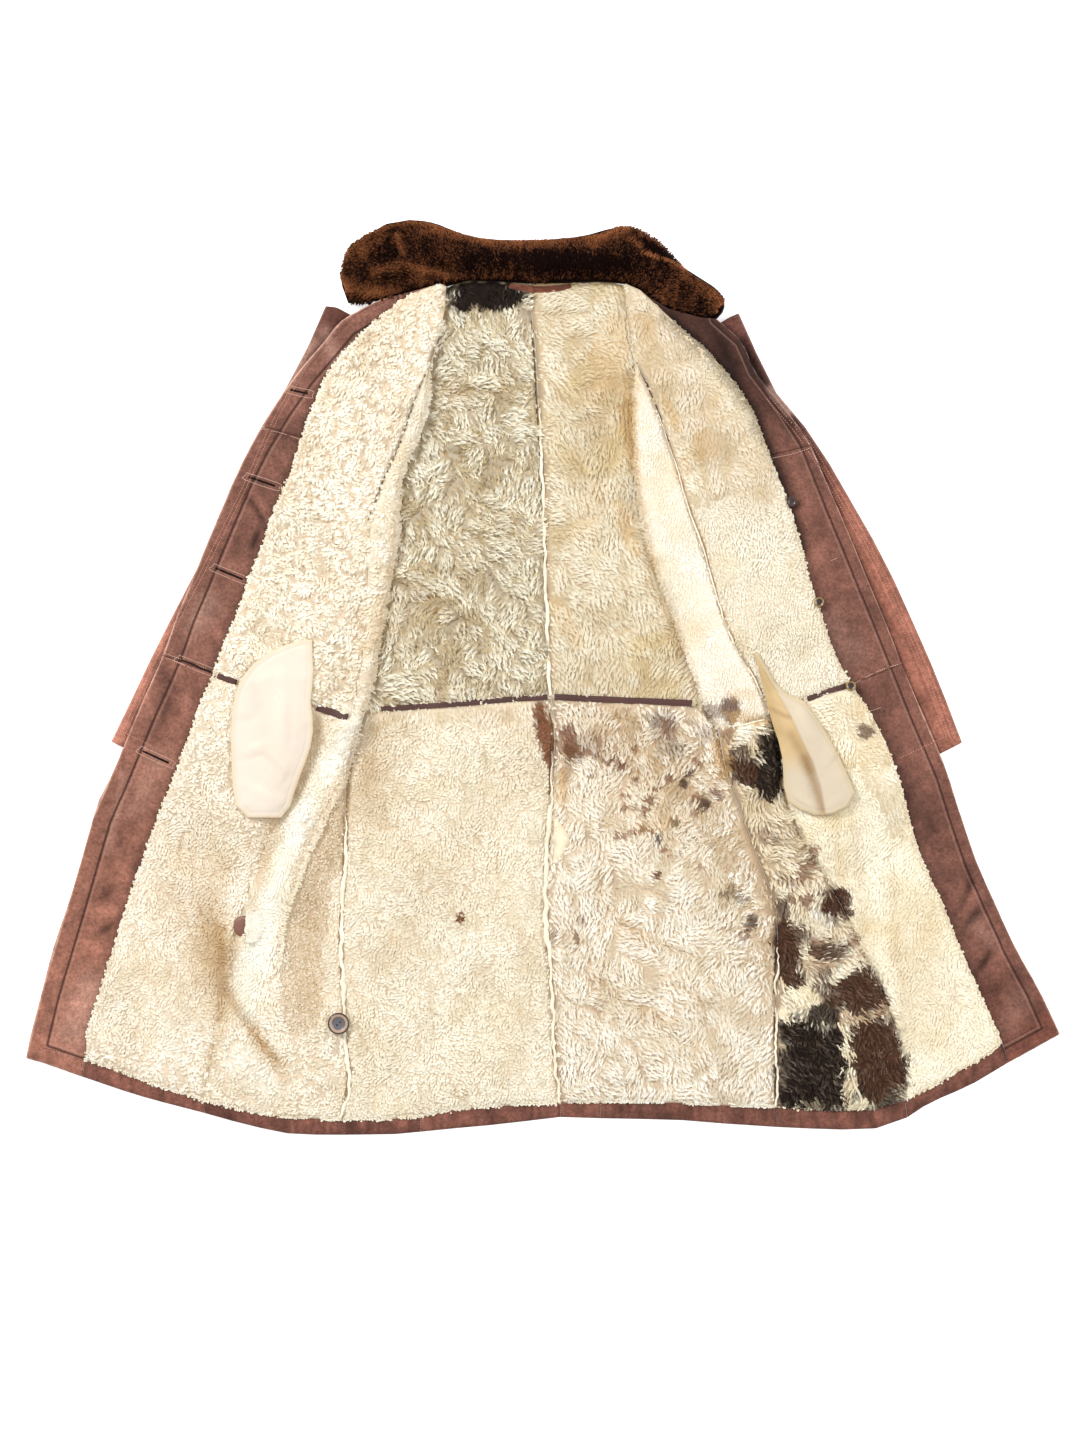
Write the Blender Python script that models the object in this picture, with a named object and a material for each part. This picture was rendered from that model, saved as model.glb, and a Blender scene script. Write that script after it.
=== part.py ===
# Shearling coat laid on its back and opened out, wool side up.
# Sizes are in millimetres here and become metres when a mesh is made. X runs across the coat, Y up it
# towards the collar, Z up from the surface that it lies on. "Left" and "right" are as seen from above.
import math
import bpy
import numpy as np
from mathutils import Vector
from mathutils.bvhtree import BVHTree

for old in list(bpy.data.objects):
    bpy.data.objects.remove(old, do_unlink=True)

MM = 0.001
GAP = 0.2             # each panel keeps this far inside its seam line, so neighbours are 0.4 apart
CLEAR = 0.35          # what lies on something is this far above it
HIDE = 2.0            # sheepskin leather
PILE = 9.0            # wool on it
COAT = HIDE + PILE    # a panel's full thickness
FACING = 5.2          # suede facing on the front's hide
BAND = 4.6            # turned-up hem band
SLEEVE_TALL = 16.0    # flattened sleeve, two walls and a slot
SLEEVE_WALL = 7.0
SLOT = 2.0
OVER_SLEEVE = 16.5    # the fronts' underside above a sleeve
OVER_BACK = 11.6      # and above the back's outer margin
BUTTON_R = 12.5       # coat button, 25 mm across
BUTTON_TALL = 4.0
STAY_R = 5.8
ROLL = 6.0            # how far in from an edge the wool rounds down
EDGE_STITCH_LEFT = 21.0    # topstitch line of the left front edge, measured in from it
EDGE_STITCH_RIGHT = 13.5   # and of the right one, which is sewn closer

# Lines that run down the coat. Each row is a level y and the x of every line there; None where the line
# has ended. Left half from the outside in, then the right half from the inside out.
BODICE_COLUMNS = ("y", "edge_l", "facing_l", "arm_l", "fold_l", "under_l", "centre",
                  "under_r", "fold_r", "arm_r", "facing_r", "edge_r")
BODICE = [
    (430, -196, -164, None, -112, -128, -15, 116, 97, None, 127, None),
    (410, -230, -191, None, -114, -131, -12, 119, 100, None, 149, 200),
    (385, -251, -218, -122, -119, -137, -9, 123, 104, None, 177, 228),
    (350, -281, -246, -133, -130, -148, -7, 127, 107, 111, 210, 243),
    (310, -309, -264, -150, -131, -151, -5, 126, 104, 129, 238, 276),
    (270, -333, -278, -164, -145, -164, -3, 128, 105, 143, 254, 304),
    (230, -353, -291, -181, -162, -181, -1, 132, 107, 156, 269, 322),
    (190, -370, -309, -195, -165, -185, 0, 138, 112, 168, 284, 340),
    (150, -387, -322, -200, -168, -187, 2, 147, 121, 183, 296, 357),
    (110, -403, -338, -201, -176, -193, 3, 160, 135, 194, 306, 373),
    (70, -420, -352, -203, -182, -197, 5, 174, 150, 206, 320, 390),
    (30, -434, -369, -206, -189, -201, 6, 185, 163, 223, 333, 406),
    (0, -447, -380, -211, -193, -202, 7, 194, 174, 242, 348, 418),
    (-40, -465, -396, -217, -204, -204, 10, 200, 189, 259, 374, 434),
]
SKIRT_COLUMNS = ("y", "edge_l", "facing_l", "side_front_l", "side_back_l", "centre",
                 "side_back_r", "side_front_r", "facing_r", "edge_r")
SKIRT = [
    (0, -447, -377, -278, -203, 9, 198, 252, 349, 418),
    (-20, -456, -389, -279, -204, 10, 199, 257, 361, 426),
    (-60, -473, -403, -284, -211, 14, 202, 266, 386, 444),
    (-110, -494, -421, -292, -225, 11, 211, 272, 406, 464),
    (-135, -508, -432, -298, -227, 10, 219, 277, 413, 472),
    (-160, -517, -442, -305, -227, 8, 230, 284, 420, 481),
    (-210, -531, -460, -326, -227, 4, 248, 310, 436, 498),
    (-260, -546, -478, -343, -230, 3, 266, 342, 459, 520),
    (-310, -563, -493, -356, -232, 6, 270, 363, 479, 543),
    (-360, -576, -509, -366, -229, 10, 267, 389, 501, 571),
    (-410, -589, -524, -375, -227, 13, 268, 406, 524, 595),
    (-440, -595, -526, -382, -224, 14, 269, 413, 533, 600),
    (-470, -600, -530, -388, -223, 17, 268, 417, 536, 600),
    (-510, -600, -534, -396, -228, 20, 268, 420, 540, 600),
]
# Lines that run across it, as x, y.
HEM = [(-594.6, -437.6), (-569, -445), (-530, -459), (-464, -481), (-389, -501), (-342, -514), (-301, -523),
       (-279, -525.6), (-228, -526), (-164, -525), (-118, -520), (-72, -516), (-26, -511), (20, -505.5),
       (66, -507), (157, -509), (207, -513), (268, -517), (341, -520), (387, -518), (419, -506),
       (442, -491), (468, -479), (493, -468), (535, -443), (594.6, -410)]
WOOL_HEM = [(-525.5, -440), (-486, -453), (-446, -469), (-391, -486), (-348, -497), (-302, -505),
            (-232, -508), (-164, -507), (-141, -505), (-107, -498), (-61, -493), (20, -489), (66, -488),
            (157, -489), (207, -492), (268, -494), (318, -497), (378, -497), (416, -486), (445, -472),
            (480, -451), (508, -436), (528, -420)]
WAIST = {
    "facing_l": [(-436, 25), (-405, 14), (-376, 3)],
    "front_l": [(-376, 3), (-330, -12), (-279, -27)],
    "side_l": [(-279, -27), (-250, -38), (-218, -47)],
    "strip_l": [(-218, -47), (-204.5, -39)],
    "back_l": [(-204.5, -39), (-164, -35), (-95, -30), (-49, -26), (9, -22)],
    "back_r": [(9, -22), (66, -25), (157, -29), (183, -33), (201, -59)],
    "strip_r": [(201, -59), (232, -52), (261, -45)],
    "front_r": [(261, -45), (299, -26), (324, -17), (353, -8)],
    "facing_r": [(353, -8), (384, 4), (411, 15)],
}
NECK = {
    "facing_l": [(-187, 433), (-150, 443), (-118, 452)],
    "front_l": [(-118, 452), (-110.5, 449)],
    "back_l": [(-134, 435), (-110, 447), (-95, 455), (-72, 455.5), (-38, 454), (-15, 452.5)],
    "back_r": [(-15, 452.5), (20, 453), (43, 453.5), (66, 454.5), (94, 451), (117, 440)],
    "front_r": [(94.5, 452), (111.5, 444.5)],
    "facing_r": [(111.5, 444.5), (144, 422), (172, 413.5), (199, 411)],
}
# The wool's slanting top edges, between neck and the facing's side.
WOOL_TOP_L = [(-182, 417), (-151, 440), (-118, 452)]
WOOL_TOP_R = [(111.5, 444.5), (140, 418), (163, 396), (177, 385)]
# Cross seams of the facings, outer end then inner end.
CHEST_L = ((-323, 288), (-276, 275))
CHEST_R = ((308, 266), (260, 254))
# Hem band: where it is sewn across, as x along the hem, x along the wool's edge.
BAND_SEAMS = [(-530, -525.5), (-389, -391), (-228, -232), (-141, -141), (20, 20), (66, 66), (207, 207),
              (268, 268), (419, 416), (535, 528)]
COLLAR_TIP_L = [(-224, 430), (-205, 431), (-187, 433)]      # the collar's lower edge past the neck line
COLLAR_HIGH = [(-229, 478), (-222, 497), (-199, 510), (-176, 523), (-151, 526), (-124, 522), (-90, 509),
               (-49, 503), (20, 504), (66, 512), (83, 519), (112, 514), (140, 492), (163, 469), (194, 451),
               (208, 436)]
# Folds and creases: start, end, height above the panel at each end, and half width.
FOLDS = [
    ((-206, -45), (-232, -120), 10, 9, 22),
    ((-232, -120), (-262, -190), 9, 7, 24),
    ((-262, -190), (-312, -310), 7, 1, 26),
    ((-236, -150), (-258, -215), -3, -4, 18),
    ((-258, -215), (-275, -300), -4, -2, 22),
    ((-366, -325), (-352, -400), -3, -4, 18),
    ((-352, -400), (-310, -465), -4, -2, 18),
    ((-135, 330), (-170, 200), 4, 4, 22),
    ((-170, 200), (-195, 10), 4, 6, 20),
    ((108, 340), (120, 200), 4, 4, 20),
    ((120, 200), (190, -10), 4, 5, 22),
    ((270, -60), (284, -160), 8, 8, 22),
    ((284, -160), (350, -260), 8, 7, 24),
    ((350, -260), (412, -430), 7, 2, 26),
    ((240, -80), (262, -200), -3, -3, 18),
    ((-9, 430), (4, 60), -1.5, -1.5, 12),
    ((11, -60), (8, -480), -1.5, -1.5, 12),
]
SLEEVE_L = {
    "head": [(-250, 427), (-220, 424), (-178, 398), (-152, 352), (-154, 310), (-167, 270), (-184, 232),
             (-187, 205)],
    "outer": [(-250, 427), (-279, 363), (-316, 297), (-353, 216), (-394, 133), (-440, 44), (-473, -25),
              (-496.8, -74)],
    "inner": [(-187, 205), (-203, 160), (-233, 100), (-272, 30), (-312, -54), (-348, -144)],
    "cuff": [(-496.8, -74), (-420, -109), (-348, -144)],
}
SLEEVE_R = {
    "head": [(225, 419), (200, 407), (160, 386), (133, 350), (130, 300), (132, 262), (136, 228), (141, 198)],
    "outer": [(225, 419), (268, 328), (310, 277), (353, 205), (392, 136), (424, 67), (454, -2), (482, -75)],
    "inner": [(141, 198), (165, 140), (210, 70), (250, 5), (293, -66), (327, -153)],
    "cuff": [(482, -75), (405, -114), (327, -153)],
}
# Pocket bags: level y, left x, right x.
POCKET_L = [(43, -276, -264), (32, -307, -264), (14, -333, -263), (-3, -346, -263), (-26, -354, -266),
            (-55, -357, -263), (-83, -357, -267), (-112, -356, -278), (-135, -354, -286),
            (-154, -349, -292), (-161, -338, -300)]
POCKET_R = [(28, 241, 246), (9, 247, 258), (-14, 253, 272), (-28, 256, 300), (-49, 261, 315),
            (-72, 269, 329), (-95, 274, 341), (-118, 275, 351), (-135, 277, 358), (-147, 285, 352),
            (-158, 311, 331)]
POCKET_THICK = 2.4
TAPE_WIDE, TAPE_THICK = 8.5, 1.6
TAPES = {
    "waist_tape_back_left": [(-186, -35.5), (-164, -35), (-95, -30), (-49, -26), (5, -22.5)],
    "waist_tape_back_right": [(13, -22.5), (66, -25), (157, -29), (171, -30)],
    "waist_tape_side_left": [(-259, -34), (-240, -41), (-224, -46)],
    "waist_tape_front_left": [(-373, 2), (-360, -3), (-351, -6)],
    "waist_tape_front_right": [(303, -25), (324, -17), (350, -9)],
}
NECK_STRIP = [(-52, 449), (-26, 447), (0, 446), (22, 447), (36, 449)]
STRIP_WIDE, STRIP_THICK = 7.5, 2.2
# Buttons: name, x, y.
COAT_BUTTONS = [("coat_button_1", 236, 310), ("coat_button_2", 282, 202), ("coat_button_3", 316, 86),
                ("coat_button_4", 352, -10), ("coat_button_5", 388, -104)]
STAYS = [("stay_button_2", 284.5, 201), ("stay_button_3", 316, 86), ("stay_button_4", 352, -10)]
LOOSE_BUTTONS = [("hem_button", -234.6, -397.3), ("wool_button", -342.7, -285.8)]


# ---------------------------------------------------------------- lines
def curve(points, n):
    """n even stretches along a smooth line through the points; its corners and ends stay where they are."""
    p = np.array(points, float)
    if len(p) == 2:
        t = np.linspace(0, 1, n + 1)[:, None]
        return p[0] * (1 - t) + p[1] * t
    ext = np.vstack([2 * p[0] - p[1], p, 2 * p[-1] - p[-2]])
    fine = []
    for i in range(len(p) - 1):
        a, b, c, d = ext[i:i + 4]
        for t in np.linspace(0, 1, 12, endpoint=False):
            fine.append(0.5 * (2 * b + (c - a) * t + (2 * a - 5 * b + 4 * c - d) * t * t
                               + (3 * b - a - 3 * c + d) * t ** 3))
    fine = np.array(fine + [p[-1]])
    run = np.concatenate([[0], np.cumsum(np.linalg.norm(np.diff(fine, axis=0), axis=1))])
    at = np.linspace(0, run[-1], n + 1)
    return np.column_stack([np.interp(at, run, fine[:, k]) for k in (0, 1)])


def down(table, columns, name, start, end, n):
    """The named line of a table, from one corner down to another."""
    k = columns.index(name)
    rows = [(r[k], r[0]) for r in table if r[k] is not None and end[1] + 9 < r[0] < start[1] - 9]
    return curve([start] + rows + [end], n)


def bodice(name, start, end, n):
    return down(BODICE, BODICE_COLUMNS, name, start, end, n)


def skirt(name, start, end, n):
    return down(SKIRT, SKIRT_COLUMNS, name, start, end, n)


def across(points, x0, x1, n):
    """Part of a line that runs across, between two of its x values."""
    p = [q for q in points if x0 + 4 < q[0] < x1 - 4]
    xs, ys = zip(*points)
    ends = [(x, float(np.interp(x, xs, ys))) for x in (x0, x1)]
    return curve([ends[0]] + p + [ends[1]], n)


def join(*runs):
    out = [np.array(runs[0])]
    for run in runs[1:]:
        out.append(np.array(run)[1:])
    return np.vstack(out)


# ---------------------------------------------------------------- heights
def smooth(t):
    t = np.clip(t, 0.0, 1.0)
    return t * t * (3 - 2 * t)


def to_segments(p, a, b):
    ab = b - a
    t = np.clip(((p[:, None, :] - a) * ab).sum(-1) / np.maximum((ab * ab).sum(-1), 1e-9), 0, 1)
    return np.linalg.norm(p[:, None, :] - (a + t[..., None] * ab), axis=-1), t


def distance(p, loop):
    """Distance outside a closed outline, zero within it."""
    p, a = np.atleast_2d(p), np.array(loop)
    b = np.roll(a, -1, axis=0)
    d = to_segments(p, a, b)[0].min(axis=1)
    inside = np.zeros(len(p), bool)
    for (x0, y0), (x1, y1) in zip(a, b):
        if y0 == y1:
            continue
        hit = ((y0 > p[:, 1]) != (y1 > p[:, 1])) & (p[:, 0] < (x1 - x0) * (p[:, 1] - y0) / (y1 - y0) + x0)
        inside ^= hit
    return np.where(inside, 0.0, d)


def relief(p):
    """Folds and creases in a panel's upper side."""
    h = np.zeros(len(p))
    for a, b, ha, hb, wide in FOLDS:
        d, t = to_segments(p, np.array([a], float), np.array([b], float))
        here = (ha + (hb - ha) * t[:, 0]) * np.exp(-(d[:, 0] / wide) ** 2)
        h = np.where(np.abs(here) > np.abs(h), here, h)
    return h


N_UP, N_LOW = 18, 18
CORNER_L, CORNER_R = (-204.5, -39), (201, -59)
HEAD_L, HEAD_R = curve(SLEEVE_L["head"], 12), curve(SLEEVE_R["head"], 12)
OUTLINE_L = join(HEAD_L, curve(SLEEVE_L["inner"], 12), curve(SLEEVE_L["cuff"], 4)[::-1],
                 curve(SLEEVE_L["outer"], 14)[::-1])
OUTLINE_R = join(HEAD_R, curve(SLEEVE_R["inner"], 12), curve(SLEEVE_R["cuff"], 4)[::-1],
                 curve(SLEEVE_R["outer"], 14)[::-1])

fold_l_top = bodice("fold_l", (-110.5, 449), (-122, 383), 3)
arm_l = bodice("arm_l", (-122, 383), (-218, -47), N_UP - 3)
fold_l = bodice("fold_l", (-120, 383), CORNER_L, N_UP - 3)
under_l = bodice("under_l", (-134, 435), CORNER_L, N_UP)
centre_up = bodice("centre", (-15, 452.5), (9, -22), N_UP)
under_r = bodice("under_r", (117, 440), CORNER_R, N_UP)
fold_r_top = bodice("fold_r", (94.5, 452), (109, 356), 4)
arm_r = bodice("arm_r", (109, 356), (261, -45), N_UP - 4)
fold_r = bodice("fold_r", (107, 356), CORNER_R, N_UP - 4)
neck_back_l, neck_back_r = curve(NECK["back_l"], 7), curve(NECK["back_r"], 7)
neck_facing_l, neck_facing_r = curve(NECK["facing_l"], 4), curve(NECK["facing_r"], 4)
neck_front_l, neck_front_r = curve(NECK["front_l"], 1), curve(NECK["front_r"], 1)
waist = {k: curve(v, n) for (k, v), n in zip(WAIST.items(), (4, 6, 4, 1, 7, 7, 4, 6, 4))}
BACK_OUTLINE = join(neck_back_l, neck_back_r, under_r, waist["back_r"][::-1], waist["back_l"][::-1],
                    under_l[::-1])


def under(p):
    """Underside of the fronts: up over a sleeve, over the back's outer margin, and down on the surface."""
    p = np.atleast_2d(p)
    lift = np.zeros(len(p))
    for loop in (OUTLINE_L, OUTLINE_R):
        lift = np.maximum(lift, OVER_SLEEVE * (1 - smooth((distance(p, loop) - 14) / 70)))
    lift = np.maximum(lift, OVER_BACK * (1 - smooth((distance(p, BACK_OUTLINE) - 12) / 45)))
    bump = np.zeros(len(p))
    for _, x, y in COAT_BUTTONS:
        r = np.hypot(p[:, 0] - x, p[:, 1] - y)
        bump = np.maximum(bump, (BUTTON_TALL + 1.0) * (1 - smooth((r - 34) / 34)))
    return lift + bump


def floor(p):
    return np.zeros(len(np.atleast_2d(p)))


# ---------------------------------------------------------------- meshes
def solid(name, verts, faces):
    mesh = bpy.data.meshes.new(name)
    mesh.from_pydata([(x * MM, y * MM, z * MM) for x, y, z in verts], [], faces)
    mesh.validate()
    mesh.update()
    obj = bpy.data.objects.new(name, mesh)
    bpy.context.collection.objects.link(obj)
    return obj


def patch(top, bottom, left, right):
    """Grid of points spanned by four edge lines; rows run down, columns across."""
    nu, nv = len(top) - 1, len(left) - 1
    u = np.linspace(0, 1, nu + 1)[None, :, None]
    v = np.linspace(0, 1, nv + 1)[:, None, None]
    c00, c10, c01, c11 = top[0], top[-1], bottom[0], bottom[-1]
    return ((1 - v) * top[None] + v * bottom[None] + (1 - u) * left[:, None] + u * right[:, None]
            - ((1 - u) * (1 - v) * c00 + u * (1 - v) * c10 + (1 - u) * v * c01 + u * v * c11))


def inset(grid, gap=GAP):
    """Draws a grid's rim inward, square to its edges."""
    g = grid.copy()
    nv, nu = g.shape[0] - 1, g.shape[1] - 1
    ring = ([(0, j) for j in range(nu)] + [(i, nu) for i in range(nv)]
            + [(nv, j) for j in range(nu, 0, -1)] + [(i, 0) for i in range(nv, 0, -1)])
    p = np.array([grid[i, j] for i, j in ring])
    a, b = np.roll(p, 1, axis=0), np.roll(p, -1, axis=0)
    area = 0.5 * np.sum(p[:, 0] * b[:, 1] - b[:, 0] * p[:, 1])
    turn = 1.0 if area > 0 else -1.0

    def normal(d):
        d = d / np.maximum(np.linalg.norm(d, axis=1), 1e-9)[:, None]
        return turn * np.column_stack([-d[:, 1], d[:, 0]])
    n1, n2 = normal(p - a), normal(b - p)
    m = n1 + n2
    m = m / np.maximum(np.linalg.norm(m, axis=1), 1e-9)[:, None]
    step = gap / np.clip((m * n1).sum(1), 0.35, 1)
    for (i, j), q in zip(ring, p + m * step[:, None]):
        g[i, j] = q
    return g


def near(a, b, far):
    """Points a set distance from line a towards line b, never past 40 % of the way."""
    d = np.linalg.norm(b - a, axis=-1, keepdims=True)
    return a + (b - a) * np.minimum(far / np.maximum(d, 1e-6), 0.4)


def rim(g, far=ROLL):
    """Adds a row and a column just inside each edge."""
    g = np.concatenate([g[:1], near(g[0], g[1], far)[None], g[1:-1], near(g[-1], g[-2], far)[None], g[-1:]])
    g = np.concatenate([g[:, :1], near(g[:, 0], g[:, 1], far)[:, None], g[:, 1:-1],
                        near(g[:, -1], g[:, -2], far)[:, None], g[:, -1:]], axis=1)
    return g


PANELS = []           # finished panels, for finding how high something lies on them


def close(name, grid, z_top, z_low, flat):
    """Closed solid between an upper and a lower grid of heights over the same plan."""
    nv, nu = grid.shape[:2]
    verts = [(x, y, z) for (x, y), z in zip(grid.reshape(-1, 2), z_top.ravel())]
    at = lambda i, j: i * nu + j
    faces = []
    sense = np.cross(grid[0, -1] - grid[0, 0], grid[-1, 0] - grid[0, 0]) > 0
    for i in range(nv - 1):
        for j in range(nu - 1):
            quad = (at(i, j), at(i, j + 1), at(i + 1, j + 1), at(i + 1, j))
            faces.append(quad if sense else quad[::-1])
    ring = ([(0, j) for j in range(nu - 1)] + [(i, nu - 1) for i in range(nv - 1)]
            + [(nv - 1, j) for j in range(nu - 1, 0, -1)] + [(i, 0) for i in range(nv - 1, 0, -1)])
    low = {}
    if flat:
        for i, j in ring:
            low[i, j] = len(verts)
            verts.append((*grid[i, j], z_low[i, j]))
        loop = [low[k] for k in ring]
        faces.append(tuple(loop[::-1]) if sense else tuple(loop))
    else:
        for i in range(nv):
            for j in range(nu):
                low[i, j] = len(verts)
                verts.append((*grid[i, j], z_low[i, j]))
        for i in range(nv - 1):
            for j in range(nu - 1):
                quad = (low[i, j], low[i + 1, j], low[i + 1, j + 1], low[i, j + 1])
                faces.append(quad if sense else quad[::-1])
    for a, b in zip(ring, ring[1:] + ring[:1]):
        quad = (at(*a), low[a], low[b], at(*b))
        faces.append(quad if sense else quad[::-1])
    return solid(name, verts, faces), verts, faces


def keep(verts, faces):
    PANELS.append(BVHTree.FromPolygons([Vector(v) for v in verts], faces))


def wool_panel(name, top, bottom, left, right, base, edges, thick=COAT):
    """edges: how full the wool is at top, bottom, left and right, 1 being its full height."""
    grid = rim(inset(patch(top, bottom, left, right)))
    nv, nu = grid.shape[:2]
    flat_xy = grid.reshape(-1, 2)
    low = base(flat_xy).reshape(nv, nu)
    fold = relief(flat_xy).reshape(nv, nu)
    tall = thick + (np.minimum(fold, 0) if base is floor else fold)
    full = np.ones((nv, nu))
    e_top, e_bottom, e_left, e_right = edges
    for line, e in ((full[0], e_top), (full[-1], e_bottom), (full[:, 0], e_left), (full[:, -1], e_right)):
        np.minimum(line, e, out=line)
    for line, e in ((full[1], e_top), (full[-2], e_bottom), (full[:, 1], e_left), (full[:, -2], e_right)):
        np.minimum(line, 1 - 0.25 * (1 - e), out=line)
    obj, verts, faces = close(name, grid, low + tall * full, low, base is floor)
    keep(verts, faces)
    return obj


def facing_panel(name, outer, inner, top, bottom, base, stitch=EDGE_STITCH_LEFT, thick=FACING):
    """A strip of suede from the coat's front edge to the wool, with a rolled edge and a stitched groove."""
    g = patch(top, bottom, outer, inner)
    stations = [(0, 0.45), (3, 0.86), (0.43 * stitch, 1.0), (stitch - 4, 0.98), (stitch, 0.74), (stitch + 4, 0.92)]
    run = np.concatenate([np.zeros((len(g), 1)),
                          np.cumsum(np.linalg.norm(np.diff(g, axis=1), axis=2), axis=1)], axis=1)
    at, full = [], []
    for w, tall in stations:
        at.append(np.minimum(w, run[:, -1] * (w / 27.0) * 0.62))
        full.append(np.full(len(g), tall))
    for part in (0.5, 0.8, 1.0):
        at.append(at[5] + (run[:, -1] - at[5]) * part)
        full.append(np.full(len(g), 0.97 if part < 1 else 0.8))
    at, full = np.array(at).T, np.array(full).T
    seams = np.array([[[np.interp(a, run[i], g[i, :, k]) for k in (0, 1)] for a in at[i]]
                      for i in range(len(g))])
    grid = inset(seams)
    low = base(grid.reshape(-1, 2)).reshape(grid.shape[:2])
    obj, verts, faces = close(name, grid, low + thick * full, low, False)
    keep(verts, faces)
    return seams


# ---------------------------------------------------------------- back
SEAM, FREE, FOLD, NECKED = 0.8, 0.55, 0.4, 0.7
wool_panel("back_bodice_left", neck_back_l, waist["back_l"], under_l, centre_up, floor,
           (NECKED, SEAM, FREE, SEAM))
wool_panel("back_bodice_right", neck_back_r, waist["back_r"], centre_up, under_r, floor,
           (NECKED, SEAM, SEAM, FREE))



def wool_hem(x0, x1, n):
    return across(WOOL_HEM, x0, x1, n)


low_l1, low_l2 = wool_hem(-232, -141, 3), wool_hem(-141, 20, 4)
low_r1, low_r2, low_r3 = wool_hem(20, 66, 2), wool_hem(66, 207, 3), wool_hem(207, 268, 2)
side_back_l = skirt("side_back_l", CORNER_L, tuple(low_l1[0]), N_LOW)
centre_low = skirt("centre", (9, -22), tuple(low_r1[0]), N_LOW)
side_back_r = skirt("side_back_r", CORNER_R, tuple(low_r3[-1]), N_LOW)
wool_panel("back_skirt_left", waist["back_l"], join(low_l1, low_l2), side_back_l, centre_low, floor,
           (SEAM, FREE, SEAM, SEAM))
wool_panel("back_skirt_right", waist["back_r"], join(low_r1, low_r2, low_r3), centre_low, side_back_r, floor,
           (SEAM, FREE, SEAM, SEAM))

# ---------------------------------------------------------------- fronts
low_fl, low_sl = wool_hem(-525.5, -391, 6), wool_hem(-391, -232, 5)
low_sr, low_fr = wool_hem(268, 416, 4), wool_hem(416, 528, 6)
wool_top_l = join(curve(WOOL_TOP_L, 9), neck_front_l)
wool_top_r = join(neck_front_r, curve(WOOL_TOP_R, 5))
facing_l_a = bodice("facing_l", WOOL_TOP_L[0], CHEST_L[1], 7)
facing_l_b = bodice("facing_l", CHEST_L[1], WAIST["front_l"][0], N_UP - 7)
facing_r_a = bodice("facing_r", WOOL_TOP_R[-1], CHEST_R[1], 6)
facing_r_b = bodice("facing_r", CHEST_R[1], WAIST["front_r"][-1], N_UP - 6)
wool_panel("front_bodice_left", wool_top_l, join(waist["front_l"], waist["side_l"]),
           join(facing_l_a, facing_l_b), join(fold_l_top, arm_l), under, (0.62, SEAM, 0.62, SEAM))
wool_panel("side_bodice_left", np.array([arm_l[0], fold_l[0]]), waist["strip_l"], arm_l, fold_l, under,
           (SEAM, SEAM, SEAM, FOLD))
wool_panel("front_bodice_right", wool_top_r, waist["front_r"], join(fold_r_top, arm_r),
           join(facing_r_a, facing_r_b), under, (0.62, SEAM, SEAM, 0.62))
wool_panel("side_bodice_right", curve([fold_r[0], arm_r[0]], 4), waist["strip_r"], fold_r, arm_r, under,
           (SEAM, SEAM, FOLD, SEAM))
facing_l_c = skirt("facing_l", WAIST["front_l"][0], (-525.5, -440), N_LOW)
facing_r_c = skirt("facing_r", WAIST["front_r"][-1], (528, -420), N_LOW)
side_front_l = skirt("side_front_l", WAIST["side_l"][0], tuple(low_sl[0]), N_LOW)
side_front_r = skirt("side_front_r", WAIST["front_r"][0], tuple(low_fr[0]), N_LOW)
wool_panel("front_skirt_left", waist["front_l"], low_fl, facing_l_c, side_front_l, under,
           (SEAM, FREE, 0.62, 0.9))
wool_panel("side_skirt_left", join(waist["side_l"], waist["strip_l"]), low_sl, side_front_l, side_back_l,
           under, (SEAM, FREE, 0.9, SEAM))
wool_panel("side_skirt_right", waist["strip_r"], low_sr, side_back_r, side_front_r, under,
           (SEAM, FREE, SEAM, 0.7))
wool_panel("front_skirt_right", waist["front_r"], low_fr, side_front_r, facing_r_c, under,
           (SEAM, FREE, FOLD, 0.62))

# ---------------------------------------------------------------- facings
edge_l_a = bodice("edge_l", NECK["facing_l"][0], CHEST_L[0], 7 + 9)
edge_l_b = bodice("edge_l", CHEST_L[0], WAIST["facing_l"][0], N_UP - 7)
edge_l_c = skirt("edge_l", WAIST["facing_l"][0], HEM[0], N_LOW + 1)
edge_r_a = bodice("edge_r", NECK["facing_r"][-1], CHEST_R[0], 5 + 6)
edge_r_b = bodice("edge_r", CHEST_R[0], WAIST["facing_r"][-1], N_UP - 6)
edge_r_c = skirt("edge_r", WAIST["facing_r"][-1], HEM[-1], N_LOW + 1)
hem_corner_l, hem_corner_r = across(HEM, -530, -389, 4)[0], across(HEM, 419, 535, 4)[-1]
N_FACE = 4
seams_l = facing_panel("facing_top_left", edge_l_a, join(curve(WOOL_TOP_L, 9)[::-1], facing_l_a),
             neck_facing_l, curve([CHEST_L[0], CHEST_L[1]], N_FACE), under)
facing_panel("facing_middle_left", edge_l_b, facing_l_b, curve([CHEST_L[0], CHEST_L[1]], N_FACE),
             waist["facing_l"], under)
facing_panel("facing_bottom_left", edge_l_c, join(facing_l_c, [(0, 0), hem_corner_l]), waist["facing_l"],
             curve([q for q in HEM if q[0] < -532] + [tuple(hem_corner_l)], N_FACE), under)
seams_r = facing_panel("facing_top_right", edge_r_a, join(curve(WOOL_TOP_R, 5), facing_r_a),
             neck_facing_r[::-1], curve([CHEST_R[0], CHEST_R[1]], N_FACE), under, EDGE_STITCH_RIGHT)
facing_panel("facing_middle_right", edge_r_b, facing_r_b, curve([CHEST_R[0], CHEST_R[1]], N_FACE),
             waist["facing_r"][::-1], under, EDGE_STITCH_RIGHT)
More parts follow.
